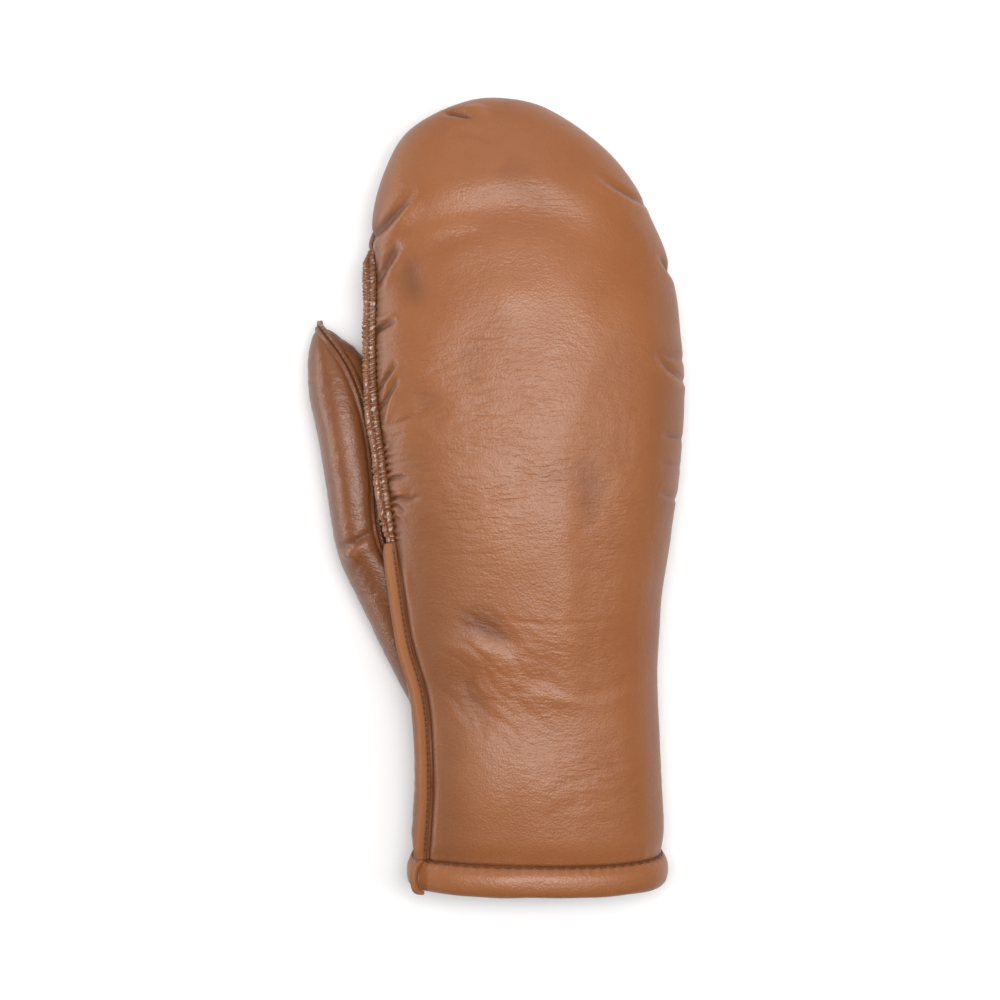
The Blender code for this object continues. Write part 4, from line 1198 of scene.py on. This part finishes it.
def hemWelt(steps, smoothing, bow):
    # the strip's last stretch: along the hem's outside, smoothed by a running mean, in a bow of bow sin(pi t)
    section = np.array(hemSection[:7])
    first = body["firstSeam"][:1]
    outside = hemPoints(first, section[None])[0][0]
    share = np.linspace(0.10, 0.90, steps)
    rows = np.linspace(0, 1, len(outside))
    points = np.stack([np.interp(share, rows, part) for part in outside.T], axis=1)
    kept = smoothing // 2
    for k in range(3):
        points[kept:-kept, k] = np.convolve(points[:, k], np.ones(smoothing) / smoothing, mode="valid")
    points[:, 0] -= bow * np.sin(np.pi * np.linspace(0, 1, steps))
    forward = unit(np.gradient(points, axis=0))
    beyond = hemPoints(first + 0.01, section[None, :1])[0][0]
    outward = unit(np.cross(unit(beyond - outside[:1]), forward))
    path = [points, outward, forward, np.zeros((steps, 1)), lengthsAlong(points)]
    strip("hemWelt", path, hemStrip, stripLeather, ["hem_welt"])


hemWelt(60, 9, 0.0010)


def stitchRow(name, starts, ends, outward, radius, bow):
    # each stitch is a capsule bent outwards: centre line start + (end - start) t + outward bow 4 t (1 - t)
    t = np.array([0.0, 0.12, 0.5, 0.88, 1.0])
    thin = np.array([0.35, 0.9, 1.0, 0.9, 0.35])
    around = np.linspace(0, 2 * np.pi, 6, endpoint=False)[:, None]
    run = unit(ends - starts)
    side = unit(np.cross(run, outward))
    up = np.cross(side, run)
    centre = starts[:, None] + (ends - starts)[:, None] * t[:, None]
    centre = centre + outward[:, None] * (4 * bow * t * (1 - t))[:, None]
    ring = side[:, None, None] * np.cos(around) + up[:, None, None] * np.sin(around)
    points = centre[:, :, None] + ring * (radius * thin)[:, None, None]
    numbers = np.arange(points[..., 0].size).reshape(points.shape[:3])
    beside = np.roll(numbers, -1, axis=2)
    faces = np.stack([numbers[:, :-1], numbers[:, 1:], beside[:, 1:], beside[:, :-1]], -1).reshape(-1, 4).tolist()
    faces += numbers[:, 0].tolist() + numbers[:, -1, ::-1].tolist()
    piece = putMesh(name, points, faces, [brownThread])
    turnOutwards(piece)
    return finished(piece, None)


def hemStitchRow():
    theta = np.linspace(0, 2 * np.pi, 4000, endpoint=False)
    points, outward = hemPoints(theta, np.full((len(theta), 1, 2), hem["stitchAt"]))
    line = {"points": points[:, 0], "outward": outward, "length": lengthsAlong(points[:, 0])}
    pitch = line["length"][-1] / hemStitches
    places = np.arange(hemStitches) * pitch
    starts, ends = (alongLine(line, "points", places + share * pitch) for share in hem["stitchSpan"])
    out = unit(alongLine(line, "outward", places + pitch / 2))
    high = starts[:, 2] > hem["stitchesAbove"]
    stitchRow("hemStitches", starts[high], ends[high], out[high], hem["stitchRadius"], hem["stitchBow"])


def seamStitchRow(name, line, start, end, look):
    # stitches of a share of the pitch, out from the seam's own line and beside it
    middle = np.arange(start + look["pitch"], end - look["pitch"], look["pitch"])
    half = look["pitch"] * look["fill"] / 2
    outward, forward = (unit(alongLine(line, part, middle)) for part in ("outward", "forward"))
    across = unit(np.cross(outward, forward))
    shift = outward * (look["out"] - alongLine(line, "pinch", middle)) + across * look["beside"]
    starts, ends = (alongLine(line, "points", middle + step) + shift for step in (-half, half))
    stitchRow(name, starts, ends, unit(across * np.sign(look["beside"])), look["radius"], look["radius"] * 0.6)


sideStitch = {"pitch": 0.0019, "fill": 0.70, "out": 0.0014, "beside": -0.00098, "radius": 0.00024}
gatherStitch = {"pitch": 0.0019, "fill": 0.72, "out": 0.0025, "beside": -0.00092, "radius": 0.00024}
edgeStitch = {"pitch": 0.0024, "fill": 0.72, "out": 0.0014, "beside": -0.0008, "radius": 0.00022}
thumbStitch = {"pitch": 0.0020, "fill": 0.62, "out": 0.0009, "beside": 0.00060, "radius": 0.00016}
hemStitchRow()
seamStitchRow("sideStitches", bodySeam, 0.002, start, sideStitch)
seamStitchRow("gatherStitches", bodySeam, start + 0.002, end - 0.002, gatherStitch)
seamStitchRow("edgeStitches", bodySeam, end, last - 0.002, edgeStitch)
seamStitchRow("thumbStitches", thumbSeam, lengthAt(thumbSeam, 0.36), thumbTop - 0.002, thumbStitch)


def floorMaterial():
    material, tree, shader, place = newMaterial("paleFloor")
    faint = noiseNode(tree, place, 3.0, 1.0)
    tone = mixColours(tree, faint, (0.86, 0.86, 0.86, 1.0), (0.87, 0.87, 0.87, 1.0))
    tree.links.new(tone, shader.inputs["Base Color"])
    shader.inputs["Roughness"].default_value = 0.9
    shader.inputs["Specular IOR Level"].default_value = 0.1
    return material


studio = {
    "floorHalf": 4.0,
    "floorHeight": -0.0002,
    "world": 0.10,
    "lamps": (
        # name, place, aimed at, width, height, watts, colour
        ("overheadSoft", (0.03, 0.07, 1.15), (0.0, 0.02, 0.04), 0.4, 0.4, 8.2, (1.0, 1.0, 1.0)),
        ("overheadBar", (0.16, 0.0, 0.98), (0.0, 0.0, 0.04), 0.24, 1.6, 7.8, (1.0, 1.0, 1.0)),
        ("tipSoft", (0.0, 0.85, 0.60), (0.0, 0.08, 0.03), 1.0, 0.8, 3.3, (1.0, 1.0, 1.0)),
        ("lowLeftStrip", (-0.6, 0.05, 0.12), (-0.04, 0.0, 0.02), 0.8, 0.04, 0.7, (0.97, 0.98, 1.0)),
        ("leftGlint", (-0.6, 0.02, 0.06), (-0.04, 0.0, 0.02), 0.8, 0.08, 2.6, (1.0, 0.90, 0.84)),
    ),
    "glintOnly": ("leftGlint",),  # seen only as a glint along the glossy rims
    "cameraPlace": (-0.00846, 0.0, 0.9),
    "sensor": 36.0,
    "frameWidth": 0.3383,  # what the picture shows across, at the height below
    "frameHeight": 0.03,
}
half, low = studio["floorHalf"], studio["floorHeight"]
corners = np.array([[-half, -half, low], [half, -half, low], [half, half, low], [-half, half, low]])
floor = putMesh("floor", corners, [[0, 1, 2, 3]], [floorMaterial()], smooth=False)

world = bpy.data.worlds.new("softRoom")
world.use_nodes = True
background = world.node_tree.nodes["Background"]
background.inputs["Color"].default_value = (1.0, 1.0, 1.0, 1.0)
background.inputs["Strength"].default_value = studio["world"]
bpy.context.scene.world = world
for name, place, aim, width, height, watts, colour in studio["lamps"]:
    lamp = bpy.data.lights.new(name, "AREA")
    lamp.shape = "RECTANGLE"
    lamp.size, lamp.size_y, lamp.energy, lamp.color = width, height, watts, colour
    holder = bpy.data.objects.new(name, lamp)
    bpy.context.scene.collection.objects.link(holder)
    holder.location = place
    holder.visible_diffuse = name not in studio["glintOnly"]
    direction = np.array(aim) - np.array(place)
    flat = math.hypot(direction[0], direction[1])
    turn = math.atan2(direction[1], direction[0]) - math.pi / 2
    holder.rotation_euler = (math.atan2(flat, -direction[2]), 0.0, turn)

camera = bpy.data.cameras.new("camera")
camera.sensor_width = studio["sensor"]
camera.lens = studio["sensor"] * (studio["cameraPlace"][2] - studio["frameHeight"]) / studio["frameWidth"]
camera.clip_end = 20.0
viewer = bpy.data.objects.new("camera", camera)
viewer.location = studio["cameraPlace"]
bpy.context.scene.collection.objects.link(viewer)
bpy.context.scene.camera = viewer
bpy.context.scene.view_settings.view_transform = "Standard"
